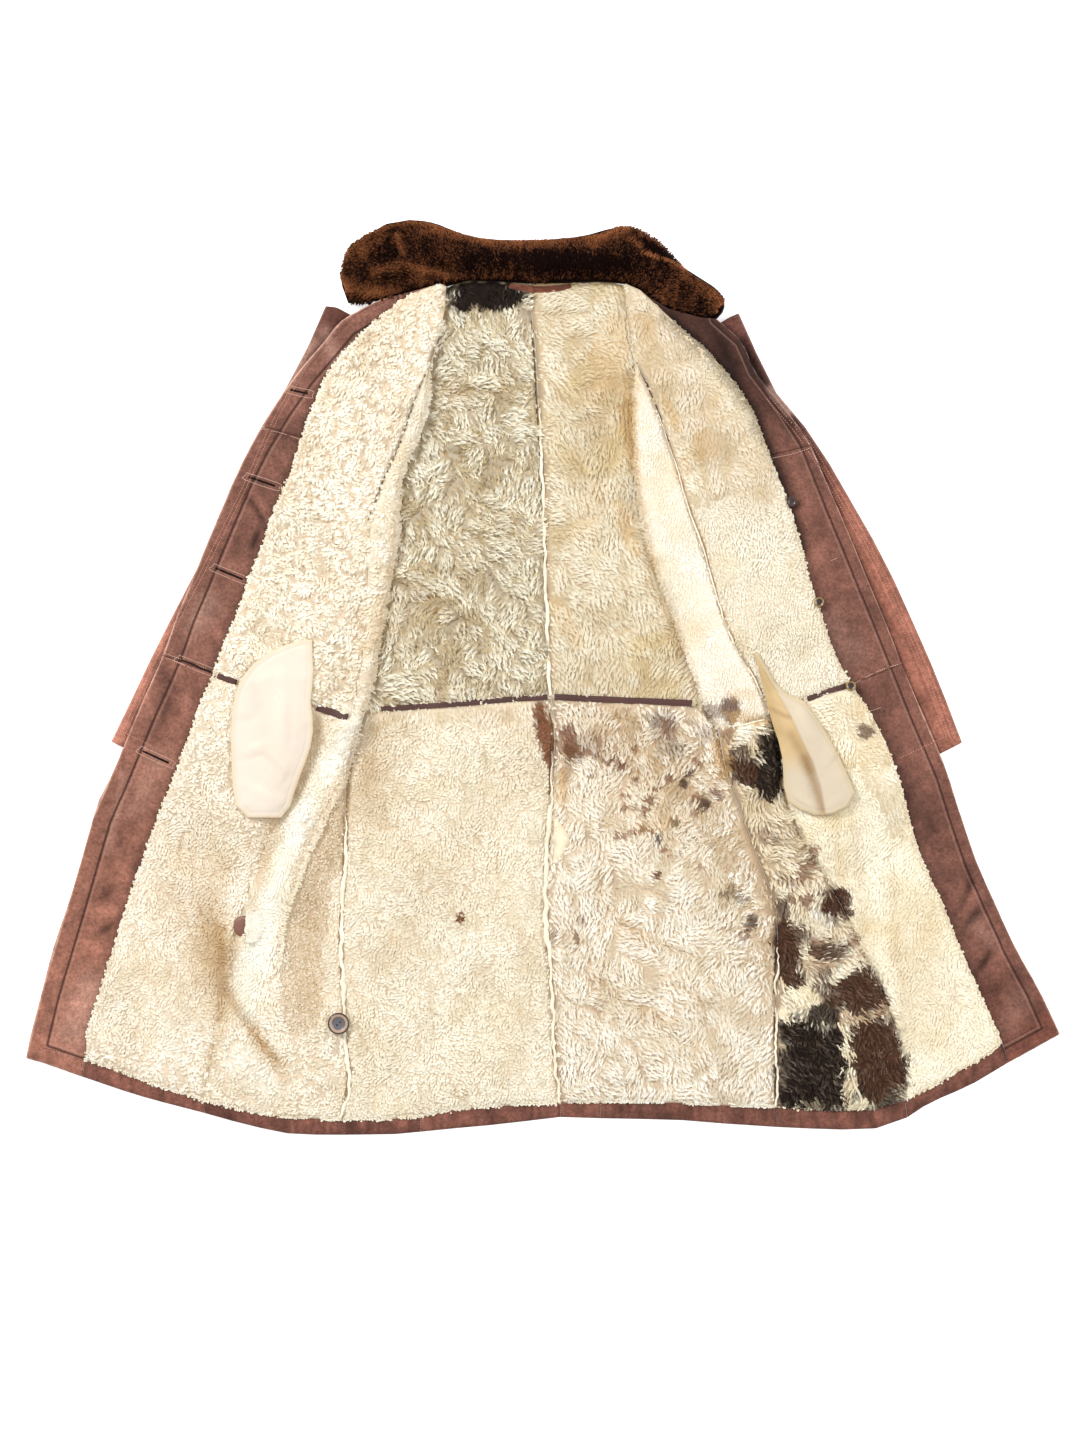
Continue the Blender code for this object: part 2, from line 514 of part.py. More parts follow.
facing_panel("facing_bottom_right", edge_r_c, join(facing_r_c, [(0, 0), hem_corner_r]),
             waist["facing_r"][::-1],
             curve(([q for q in HEM if q[0] > 537][::-1]) + [tuple(hem_corner_r)], N_FACE), under,
             EDGE_STITCH_RIGHT)

# ---------------------------------------------------------------- hem band
inner_runs = [low_fl, low_sl, low_l1, low_l2, low_r1, low_r2, low_r3, low_sr, low_fr]
for k, inner in enumerate(inner_runs):
    n = len(inner) - 1
    outer = across(HEM, BAND_SEAMS[k][0], BAND_SEAMS[k + 1][0], n)
    g = inset(patch(inner, outer, curve([inner[0], outer[0]], 2), curve([inner[-1], outer[-1]], 2)))
    g = np.concatenate([g[:2], near(g[-1], g[-2], 2.5)[None], g[-1:]])
    full = np.array([0.85, 1.0, 0.85, 0.4])[:, None] * np.ones(g.shape[:2])
    _, verts, faces = close(f"hem_band_{k + 1}", g, BAND * full, 0 * full, True)
    keep(verts, faces)


# ---------------------------------------------------------------- sleeves
def sleeve(name, cut):
    rows, cols = 11, 8
    grid = inset(patch(curve(cut["head"], cols), curve(cut["cuff"], cols), curve(cut["outer"], rows),
                       curve(cut["inner"], rows)), 0.6)
    half = SLEEVE_TALL / 2
    out_ring = [(0, 0.0), (2.0, 0.55), (6.0, 0.87), (12.0, 1.0)]      # distance in, share of half height
    in_ring = [(7.0, 0.0), (8.5, 0.6), (11.0, 0.9), (15.0, 1.0)]

    def ring(line, shape, tall):
        run = np.concatenate([[0], np.cumsum(np.linalg.norm(np.diff(line, axis=0), axis=1))])
        total = run[-1]
        marks = [(w, t) for w, t in shape] + [(total * f, 1.0) for f in (0.3, 0.5, 0.7)] \
            + [(total - w, t) for w, t in shape[::-1]]
        pts = [(np.interp(w, run, line[:, 0]), np.interp(w, run, line[:, 1]), t) for w, t in marks]
        low = [(x, y, half - tall * t) for x, y, t in pts]
        high = [(x, y, half + tall * t) for x, y, t in pts[1:-1]][::-1]
        return low + high
    outer = [ring(g, out_ring, half) for g in grid]
    inner = [ring(g, in_ring, SLOT / 2) for g in grid]
    k = len(outer[0])
    verts = [v for r in outer for v in r] + [v for r in inner for v in r]
    shift = k * (rows + 1)
    faces = []
    for i in range(rows):
        for j in range(k):
            a, b = i * k + j, i * k + (j + 1) % k
            faces.append((a, a + k, b + k, b))
            faces.append((a + shift, b + shift, b + k + shift, a + k + shift))
    for j in range(k):
        a, b = j, (j + 1) % k
        faces.append((a, b, b + shift, a + shift))
        a, b = rows * k + j, rows * k + (j + 1) % k
        faces.append((b, a, a + shift, b + shift))
    line = grid[0]
    if np.cross(line[-1] - line[0], grid[-1, 0] - line[0]) > 0:
        faces = [f[::-1] for f in faces]
    faces = [f[::-1] for f in faces]
    solid(name, verts, faces)
    keep(verts, faces)


sleeve("sleeve_left", SLEEVE_L)
sleeve("sleeve_right", SLEEVE_R)

# ---------------------------------------------------------------- collar
c_low = np.vstack([curve(COLLAR_TIP_L, 2), seams_l[0][1:], neck_front_l[1:],
                   neck_back_l[neck_back_l[:, 0] > -108], neck_back_r[1:][neck_back_r[1:, 0] < 90],
                   neck_front_r[:1], seams_r[0][::-1]])
even = curve(COLLAR_HIGH, 60)
share = np.concatenate([[0], np.cumsum(np.linalg.norm(np.diff(c_low, axis=0), axis=1))])
c_high = np.column_stack([np.interp(share / share[-1], np.linspace(0, 1, 61), even[:, k]) for k in (0, 1)])
g = patch(c_high, c_low, curve([c_high[0], (-232, 455), c_low[0]], 5),
          curve([c_high[-1], (208, 422), c_low[-1]], 5))
g = rim(inset(g), 5.0)
rise = np.array([7, 15, 23, 27, 28, 25, 21, 15])[:, None] * np.ones(g.shape[:2])
rise[:, 0] *= 0.5
rise[:, -1] *= 0.5
rise[:, 1] *= 0.85
rise[:, -2] *= 0.85
gx, gy = g[..., 0], g[..., 1]
rise *= 1 - 0.13 * np.exp(-((gx + 160) / 14) ** 2) - 0.12 * np.exp(-((gx - 135) / 16) ** 2) \
    + 0.04 * np.sin(gx / 21.0)
close("collar", g, rise, 0 * rise, True)


# ---------------------------------------------------------------- what lies on the panels
def top_of(x, y, reach=0.0):
    """Height of the highest panel under a spot of the given reach."""
    best = 0.0
    spots = [(0, 0)]
    if reach:
        spots += [(reach * r * math.cos(a), reach * r * math.sin(a)) for r in (0.5, 1.0)
                  for a in np.arange(0, 2 * math.pi, math.pi / 4)]
    for dx, dy in spots:
        for tree in PANELS:
            hit = tree.ray_cast(Vector((x + dx, y + dy, 200.0)), Vector((0, 0, -1)))
            if hit[0] is not None:
                best = max(best, hit[0].z)
    return best


def lying(name, grid, thick, reach, ends=0.6):
    """A thin cloth that lies on what is beneath it."""
    nv, nu = grid.shape[:2]
    base = np.array([[top_of(*grid[i, j], reach) for j in range(nu)] for i in range(nv)]) + CLEAR
    t = np.full((nv, nu), thick)
    for line in (t[0], t[-1], t[:, 0], t[:, -1]):
        line *= ends
    _, verts, faces = close(name, grid, base + t, base, False)
    keep(verts, faces)


def tape(name, points, wide, thick, n, reach):
    mid = curve(points, n)
    way = np.gradient(mid, axis=0)
    way /= np.linalg.norm(way, axis=1)[:, None]
    side = np.column_stack([-way[:, 1], way[:, 0]])
    grid = np.array([mid + side * wide * f for f in (0.5, 0.0, -0.5)])
    lying(name, grid, thick, reach, 0.7)


for name, rows in TAPES.items():
    length = np.linalg.norm(np.array(rows[-1]) - rows[0])
    tape(name, rows, TAPE_WIDE, TAPE_THICK, max(3, int(length / 9)), 3.0)
for name, rows in (("pocket_bag_left", POCKET_L), ("pocket_bag_right", POCKET_R)):
    y, xl, xr = (np.array(c, float) for c in zip(*rows))
    left = curve(np.column_stack([xl, y]), 12)
    right = curve(np.column_stack([xr, y]), 12)
    grid = patch(curve([left[0], right[0]], 5), curve([left[-1], right[-1]], 5), left, right)
    lying(name, grid, POCKET_THICK, 9.0)
tape("neck_strip", NECK_STRIP, STRIP_WIDE, STRIP_THICK, 7, 6.0)


def disc(name, x, y, z, radius, tall, rings, sides=20):
    """Turned solid; rings are share of radius, share of height, from the lower rim round to the dished middle."""
    verts, faces = [], []
    for r, h in rings:
        for k in range(sides):
            a = 2 * math.pi * k / sides
            verts.append((x + radius * r * math.cos(a), y + radius * r * math.sin(a), z + tall * h))
    for i in range(len(rings) - 1):
        for k in range(sides):
            a, b = i * sides + k, i * sides + (k + 1) % sides
            faces.append((a, b, b + sides, a + sides))
    faces.append(tuple(range(sides))[::-1])
    faces.append(tuple(range((len(rings) - 1) * sides, len(rings) * sides)))
    solid(name, verts, faces)


DISHED = [(0.86, 0.0), (1.0, 0.35), (1.0, 0.7), (0.9, 1.0), (0.68, 0.9), (0.6, 0.55)]
PLAIN = [(0.85, 0.0), (1.0, 0.35), (1.0, 0.7), (0.85, 1.0)]
for name, x, y in LOOSE_BUTTONS:
    disc(name, x, y, top_of(x, y, BUTTON_R) + CLEAR, BUTTON_R, BUTTON_TALL, DISHED)
for name, x, y in STAYS:
    disc(name, x, y, top_of(x, y, STAY_R) + CLEAR, STAY_R, 2.6, PLAIN, 14)
for name, x, y in COAT_BUTTONS:
    disc(name, x, y, OVER_SLEEVE - 0.1, BUTTON_R, BUTTON_TALL, PLAIN)
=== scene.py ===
# %% [markdown]
# # A shearling coat, laid open on its back
# A shearling coat is sheepskin worn wool side in. Here it lies on its back with the fronts turned open, so
# the wool lining, the suede facings along the front edges and the dark fur collar show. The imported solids
# are the frame: each panel of the real coat is one node, and every piece made here lies on its node's form.
# %% Frame and tools
import math

import bmesh
import bpy
import numpy as np
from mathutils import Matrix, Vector
from mathutils.bvhtree import BVHTree


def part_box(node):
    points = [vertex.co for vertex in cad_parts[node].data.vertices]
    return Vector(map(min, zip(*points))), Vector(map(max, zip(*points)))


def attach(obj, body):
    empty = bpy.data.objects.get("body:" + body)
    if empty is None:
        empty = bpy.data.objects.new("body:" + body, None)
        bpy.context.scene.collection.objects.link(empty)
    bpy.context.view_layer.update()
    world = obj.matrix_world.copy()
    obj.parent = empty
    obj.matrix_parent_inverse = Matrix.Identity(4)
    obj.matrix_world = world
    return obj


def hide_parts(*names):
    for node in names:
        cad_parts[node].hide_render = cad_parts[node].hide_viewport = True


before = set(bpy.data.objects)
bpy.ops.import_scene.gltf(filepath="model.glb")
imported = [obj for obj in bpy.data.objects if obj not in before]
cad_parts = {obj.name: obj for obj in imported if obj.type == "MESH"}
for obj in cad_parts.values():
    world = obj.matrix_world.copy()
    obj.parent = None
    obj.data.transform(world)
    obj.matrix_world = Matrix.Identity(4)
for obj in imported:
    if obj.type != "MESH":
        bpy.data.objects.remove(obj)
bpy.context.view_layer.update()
MM = 0.001

# %% [markdown]
# ## Camera
# The coat is looked at straight from above. A long lens keeps its raised parts from growing towards the
# edges of the view, as a long lens does over a copy stand.
# %% Camera
LENS, TALL_VIEW = 135.0, 1.656
eye = bpy.data.cameras.new("eye")
eye.lens, eye.sensor_width = LENS, 36.0
eye.clip_end = 60
camera = bpy.data.objects.new("camera", eye)
camera.location = (-0.00345, -0.0489, TALL_VIEW * LENS / 36.0)
bpy.context.scene.collection.objects.link(camera)
bpy.context.scene.camera = camera
bpy.context.scene.view_settings.view_transform = "Standard"
print("camera height m:", round(camera.location.z, 2))

# %% [markdown]
# ## Small helpers
# Colours are picked as sRGB hex values, as in any paint program, but shaders count light, so one function
# turns them to linear. One function adds a shader node with its settings and links.
# %% Colours and nodes
def linear(code):
    part = np.array([int(code[i:i + 2], 16) / 255 for i in (1, 3, 5)])
    return np.where(part <= 0.04045, part / 12.92, ((part + 0.055) / 1.055) ** 2.4)


def add(tree, kind, inputs=None, **settings):
    made = tree.nodes.new(kind)
    for key, value in settings.items():
        setattr(made, key, value)
    for key, value in (inputs or {}).items():
        if isinstance(value, bpy.types.NodeSocket):
            tree.links.new(value, made.inputs[key])
        else:
            made.inputs[key].default_value = value
    return made


def material(name, values):
    """A new material, its node tree and its shader, with these of the shader's inputs set."""
    mat = bpy.data.materials.new(name)
    mat.use_nodes = True
    shader = mat.node_tree.nodes["Principled BSDF"]
    for key, value in values.items():
        shader.inputs[key].default_value = value
    return mat, mat.node_tree, shader


# %% [markdown]
# Nothing on a sheepskin is even, so most shapes and colours are varied by noise. This is value noise: a
# random number at each corner of a grid, blended smoothly between them. `cells` scatters one centre in each
# square of a grid and tells every point which centre is nearest, which is how wool gathers into locks.
# %% Noise
def scatter(i, j, seed):
    n = (i.astype(np.int64) * 374761393 + j.astype(np.int64) * 668265263 + seed * 974634777) & 0xFFFFFFFF
    n = ((n ^ (n >> 13)) * 1274126177) & 0xFFFFFFFF
    n = ((n ^ (n >> 16)) * 2246822519) & 0xFFFFFFFF
    return ((n ^ (n >> 15)) & 0xFFFFFF) / float(0xFFFFFF)


def noise(p, size, seed):
    """Smooth noise from -1 to 1, its bumps about this many millimetres across."""
    q = p / size
    i = np.floor(q)
    f = q - i
    f = f * f * (3 - 2 * f)
    a, b = (scatter(i[:, 0] + dx, i[:, 1], seed) for dx in (0, 1))
    c, d = (scatter(i[:, 0] + dx, i[:, 1] + 1, seed) for dx in (0, 1))
    low = a + (b - a) * f[:, 0]
    high = c + (d - c) * f[:, 0]
    return 2 * (low + (high - low) * f[:, 1]) - 1


def cells(p, size, seed):
    """For each point: offset from its cell's centre, the cell's own random number, how near its border."""
    q = p / size
    base = np.floor(q)
    best = np.full(len(p), 9.0)
    second = np.full(len(p), 9.0)
    off = np.zeros_like(p)
    rank = np.zeros(len(p))
    for di in (-1, 0, 1):
        for dj in (-1, 0, 1):
            i, j = base[:, 0] + di, base[:, 1] + dj
            seat = np.column_stack([i + scatter(i, j, seed), j + scatter(i, j, seed + 1)])
            gap = q - seat
            d = np.hypot(gap[:, 0], gap[:, 1])
            nearer = d < best
            second = np.where(nearer, best, np.minimum(second, d))
            best = np.where(nearer, d, best)
            off[nearer] = gap[nearer] * size
            rank = np.where(nearer, scatter(i, j, seed + 2), rank)
    return off, rank, np.clip(1 - (second - best) * 2.2, 0, 1)


def ease(t):
    t = np.clip(t, 0.0, 1.0)
    return t * t * (3 - 2 * t)


def blend(a, b, w):
    """From a, where w is 0, to b, where it is 1."""
    return a * (1 - w) + b * w


# %% [markdown]
# ## Lines of the coat
# A coat maker knows a coat by its seam lines. These are in millimetres, x to the right and y towards the
# collar, and later cells sew, thin or comb along them.
# %% Seam lines
EDGE_L = [(-187, 433), (-196, 430), (-230, 410), (-251, 385), (-281, 350), (-309, 310), (-333, 270),
          (-353, 230), (-370, 190), (-387, 150), (-403, 110), (-420, 70), (-434, 30), (-447, 0), (-465, -40),
          (-494, -110), (-517, -160), (-546, -260), (-576, -360), (-594.6, -437.6)]
FACING_L = [(-151, 440), (-182, 417), (-218, 385), (-246, 350), (-264, 310), (-278, 270), (-291, 230),
            (-309, 190), (-322, 150), (-338, 110), (-352, 70), (-369, 30), (-380, 0), (-396, -40),
            (-421, -110), (-442, -160), (-460, -210), (-478, -260), (-493, -310), (-509, -360), (-524, -410),
            (-525.5, -440)]
ARM_L = [(-122, 385), (-133, 350), (-150, 310), (-164, 270), (-181, 230), (-195, 190), (-200, 150),
         (-201, 110), (-203, 70), (-206, 30), (-211, 0), (-217, -40)]
FOLD_L = [(-110.5, 449), (-114, 410), (-119, 385), (-130, 350), (-131, 310), (-145, 270), (-162, 230),
          (-165, 190), (-168, 150), (-176, 110), (-182, 70), (-189, 30), (-193, 0), (-204.5, -39)]
CENTRE = [(-15, 452), (-12, 410), (-9, 385), (-7, 350), (-5, 310), (-3, 270), (-1, 230), (0, 190), (2, 150),
          (3, 110), (5, 70), (6, 30), (7, 0), (9, -22)]
CENTRE_LOW = [(9, -22), (10, -40), (14, -60), (12, -85), (11, -110), (10, -135), (8, -160), (4, -210),
              (3, -260), (6, -310), (10, -360), (13, -410), (14, -440), (17, -470), (20, -490)]
FOLD_R = [(94.5, 452), (97, 430), (100, 410), (104, 385), (107, 350), (104, 310), (105, 270), (107, 230),
          (112, 190), (121, 150), (135, 110), (150, 70), (163, 30), (174, 0), (189, -40), (201, -59)]
ARM_R = [(109, 356), (111, 350), (129, 310), (143, 270), (156, 230), (168, 190), (183, 150), (194, 110),
         (206, 70), (223, 30), (242, 0), (259, -40)]
FACING_R = [(140, 418), (163, 396), (177, 385), (210, 350), (238, 310), (254, 270), (269, 230), (284, 190),
            (296, 150), (306, 110), (320, 70), (333, 30), (348, 0), (374, -40), (406, -110), (420, -160),
            (436, -210), (459, -260), (479, -310), (501, -360), (524, -410), (528, -420)]
EDGE_R = [(199, 411), (228, 385), (243, 350), (276, 310), (304, 270), (322, 230), (340, 190), (357, 150),
          (373, 110), (390, 70), (406, 30), (418, 0), (434, -40), (464, -110), (481, -160), (498, -210),
          (520, -260), (543, -310), (571, -360), (594.6, -410)]
SIDE_BACK_L = [(-204.5, -39), (-211, -60), (-225, -110), (-227, -160), (-227, -210), (-230, -260),
               (-232, -310), (-229, -360), (-227, -410), (-224, -440), (-223, -470), (-232, -508)]
SIDE_BACK_R = [(201, -59), (211, -110), (230, -160), (248, -210), (266, -260), (270, -310), (267, -360),
               (268, -410), (269, -440), (268, -494)]
SIDE_FRONT_R = [(261, -45), (266, -60), (272, -110), (284, -160), (310, -210), (342, -260), (363, -310),
                (389, -360), (406, -410), (413, -440), (416, -486)]
WAIST_BACK = [(-204.5, -39), (-164, -35), (-95, -30), (-49, -26), (9, -22), (66, -25), (157, -29), (183, -33),
              (201, -59)]
WAIST_FRONT_L = [(-376, 3), (-330, -12), (-279, -27), (-250, -38), (-218, -47)]
WAIST_FRONT_R = [(232, -52), (261, -45), (299, -26), (324, -17), (353, -8)]
HEM = [(-594.6, -437.6), (-569, -445), (-530, -459), (-464, -481), (-389, -501), (-342, -514), (-301, -523),
       (-279, -525.6), (-228, -526), (-164, -525), (-118, -520), (-72, -516), (-26, -511), (20, -505.5),
       (66, -507), (157, -509), (207, -513), (268, -517), (341, -520), (387, -518), (419, -506), (442, -491),
       (468, -479), (493, -468), (535, -443), (594.6, -410)]
WOOL_HEM = [(-525.5, -440), (-486, -453), (-446, -469), (-391, -486), (-348, -497), (-302, -505),
            (-232, -508), (-164, -507), (-141, -505), (-107, -498), (-61, -493), (20, -489), (66, -488),
            (157, -489), (207, -492), (268, -494), (318, -497), (378, -497), (416, -486), (445, -472),
            (480, -451), (508, -436), (528, -420)]


def walk(points, step):
    """Even steps along a smooth line through the points, each with the line's direction there."""
    p = np.array(points, float)
    ends = np.vstack([2 * p[0] - p[1], p, 2 * p[-1] - p[-2]])
    fine = []
    for i in range(len(p) - 1):
        a, b, c, d = ends[i:i + 4]
        t = np.linspace(0, 1, 10, endpoint=False)[:, None]
        fine.append(0.5 * (2 * b + (c - a) * t + (2 * a - 5 * b + 4 * c - d) * t ** 2
                           + (3 * b - a - 3 * c + d) * t ** 3))
    fine = np.vstack(fine + [p[-1:]])
    run = np.concatenate([[0], np.cumsum(np.linalg.norm(np.diff(fine, axis=0), axis=1))])
    n = max(2, int(round(run[-1] / step)))
    at = np.linspace(0, run[-1], n + 1)
    spots = np.column_stack([np.interp(at, run, fine[:, k]) for k in (0, 1)])
    way = np.gradient(spots, axis=0)
    return spots, way / np.maximum(np.linalg.norm(way, axis=1), 1e-9)[:, None]


def beside(line, far):
    """A line moved sideways, to its left if far is positive."""
    spots, way = walk(line, 12)
    return [tuple(s + far * np.array([-w[1], w[0]])) for s, w in zip(spots, way)]


def off_line(p, line):
    """Each point's distance from a line, negative on its right-hand side, and how far along it is, 0 to 1."""
    line = np.array(line, float)
    best = np.full(len(p), 1e9)
    side = np.ones(len(p))
    along = np.zeros(len(p))
    for k, (a, b) in enumerate(zip(line[:-1], line[1:])):
        ab, ap = b - a, p - a
        t = np.clip((ap @ ab) / (ab @ ab), 0, 1)
        d = np.linalg.norm(ap - t[:, None] * ab, axis=1)
        closer = d < best
        best = np.where(closer, d, best)
        side = np.where(closer, np.sign(ab[0] * ap[:, 1] - ab[1] * ap[:, 0]), side)
        along = np.where(closer, (k + t) / (len(line) - 1), along)
    return best * side, along


def near_line(p, line, wide):
    """1 on the line, fading away beside it within about this many millimetres."""
    return np.exp(-(off_line(p, line)[0] / wide) ** 2)


# %% [markdown]
# ## Making a cloth shell from its solid
# A panel of sheepskin is a closed sheet a centimetre thick. The node already has its outline and its height,
# so the sheet starts as a copy of that mesh, joined up and cut into triangles small enough to bend. Only
# its upper side is then eased and shaped; the edge stays inside its seams. Most of a sleeve lies under the
# fronts, so an edge is cut only where a ray straight up from it meets nothing: what is covered stays coarse.
# %% Shells
def tree_of_cloth():
    """Every node's faces but the buttons' in one tree, to ask what lies above a spot."""
    verts, faces = [], []
    for name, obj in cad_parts.items():
        if "button" in name:
            continue
        first = len(verts)
        verts += [v.co.copy() for v in obj.data.vertices]
        faces += [[first + i for i in f.vertices] for f in obj.data.polygons]
    return BVHTree.FromPolygons(verts, faces)


CLOTH_TREE = tree_of_cloth()
ABOVE = Vector((0, 0, 0.05 * MM))      # a hair's breadth, to start clear of the face itself


def open_above(e):
    """True where no cloth lies over the edge's middle or over one of its ends."""
    a, b = e.verts[0].co, e.verts[1].co
    return any(CLOTH_TREE.ray_cast(spot + ABOVE, Vector((0, 0, 1)))[0] is None for spot in ((a + b) / 2, a,
                                                                                            b))


def shell_mesh(node, longest, smoothing):
    """A finer copy of a node as a bmesh, with the list of vertices of its upper side."""
    bm = bmesh.new()
    bm.from_mesh(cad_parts[node].data)
    bmesh.ops.remove_doubles(bm, verts=bm.verts, dist=0.00002)
    for _ in range(6):
        coarse = [e for e in bm.edges if e.calc_length() > longest * MM
                  and any(f.normal.z > 0.1 for f in e.link_faces) and open_above(e)]
        if not coarse:
            break
        bmesh.ops.subdivide_edges(bm, edges=coarse, cuts=1)
        bmesh.ops.triangulate(bm, faces=[f for f in bm.faces if len(f.verts) > 3])
    inner = [v for v in bm.verts if all(f.normal.z > 0.25 for f in v.link_faces)]
    for _ in range(smoothing):
        bmesh.ops.smooth_vert(bm, verts=inner, factor=0.6, use_axis_x=False, use_axis_y=False,
                              use_axis_z=True)
    bm.normal_update()
    upper = [v for v in bm.verts if any(f.normal.z > 0.25 for f in v.link_faces)]
    return bm, upper


def plan(verts):
    """The places of these vertices as seen from above, in millimetres."""
    return np.array([[v.co.x, v.co.y] for v in verts]) / MM


def rim_distance(upper, p):
    """How far each point is from the edge of a piece with these upper vertices, in millimetres."""
    rim = plan(v for v in upper
               if any(f.normal.z <= 0.25 and f.calc_area() > 0.02 * MM ** 2 for f in v.link_faces))
    return np.array([np.min(np.hypot(*(rim - q).T)) for q in p])


def placed(name, mesh):
    """An object of this mesh, riding on the coat's one body."""
    obj = bpy.data.objects.new(name, mesh)
    bpy.context.scene.collection.objects.link(obj)
    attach(obj, "root")
    return obj


def finish_mesh(bm, name, mats, tint=None, smooth=True):
    mesh = bpy.data.meshes.new(name)
    bm.to_mesh(mesh)
    bm.free()
    for mat in mats:
        mesh.materials.append(mat)
    if smooth:
        mesh.polygons.foreach_set("use_smooth", [True] * len(mesh.polygons))
    if tint is not None:
        paint = mesh.color_attributes.new("tint", "FLOAT_COLOR", "POINT")
        paint.data.foreach_set("color", np.column_stack([tint, np.ones(len(tint))]).ravel())
    return placed(name, mesh)


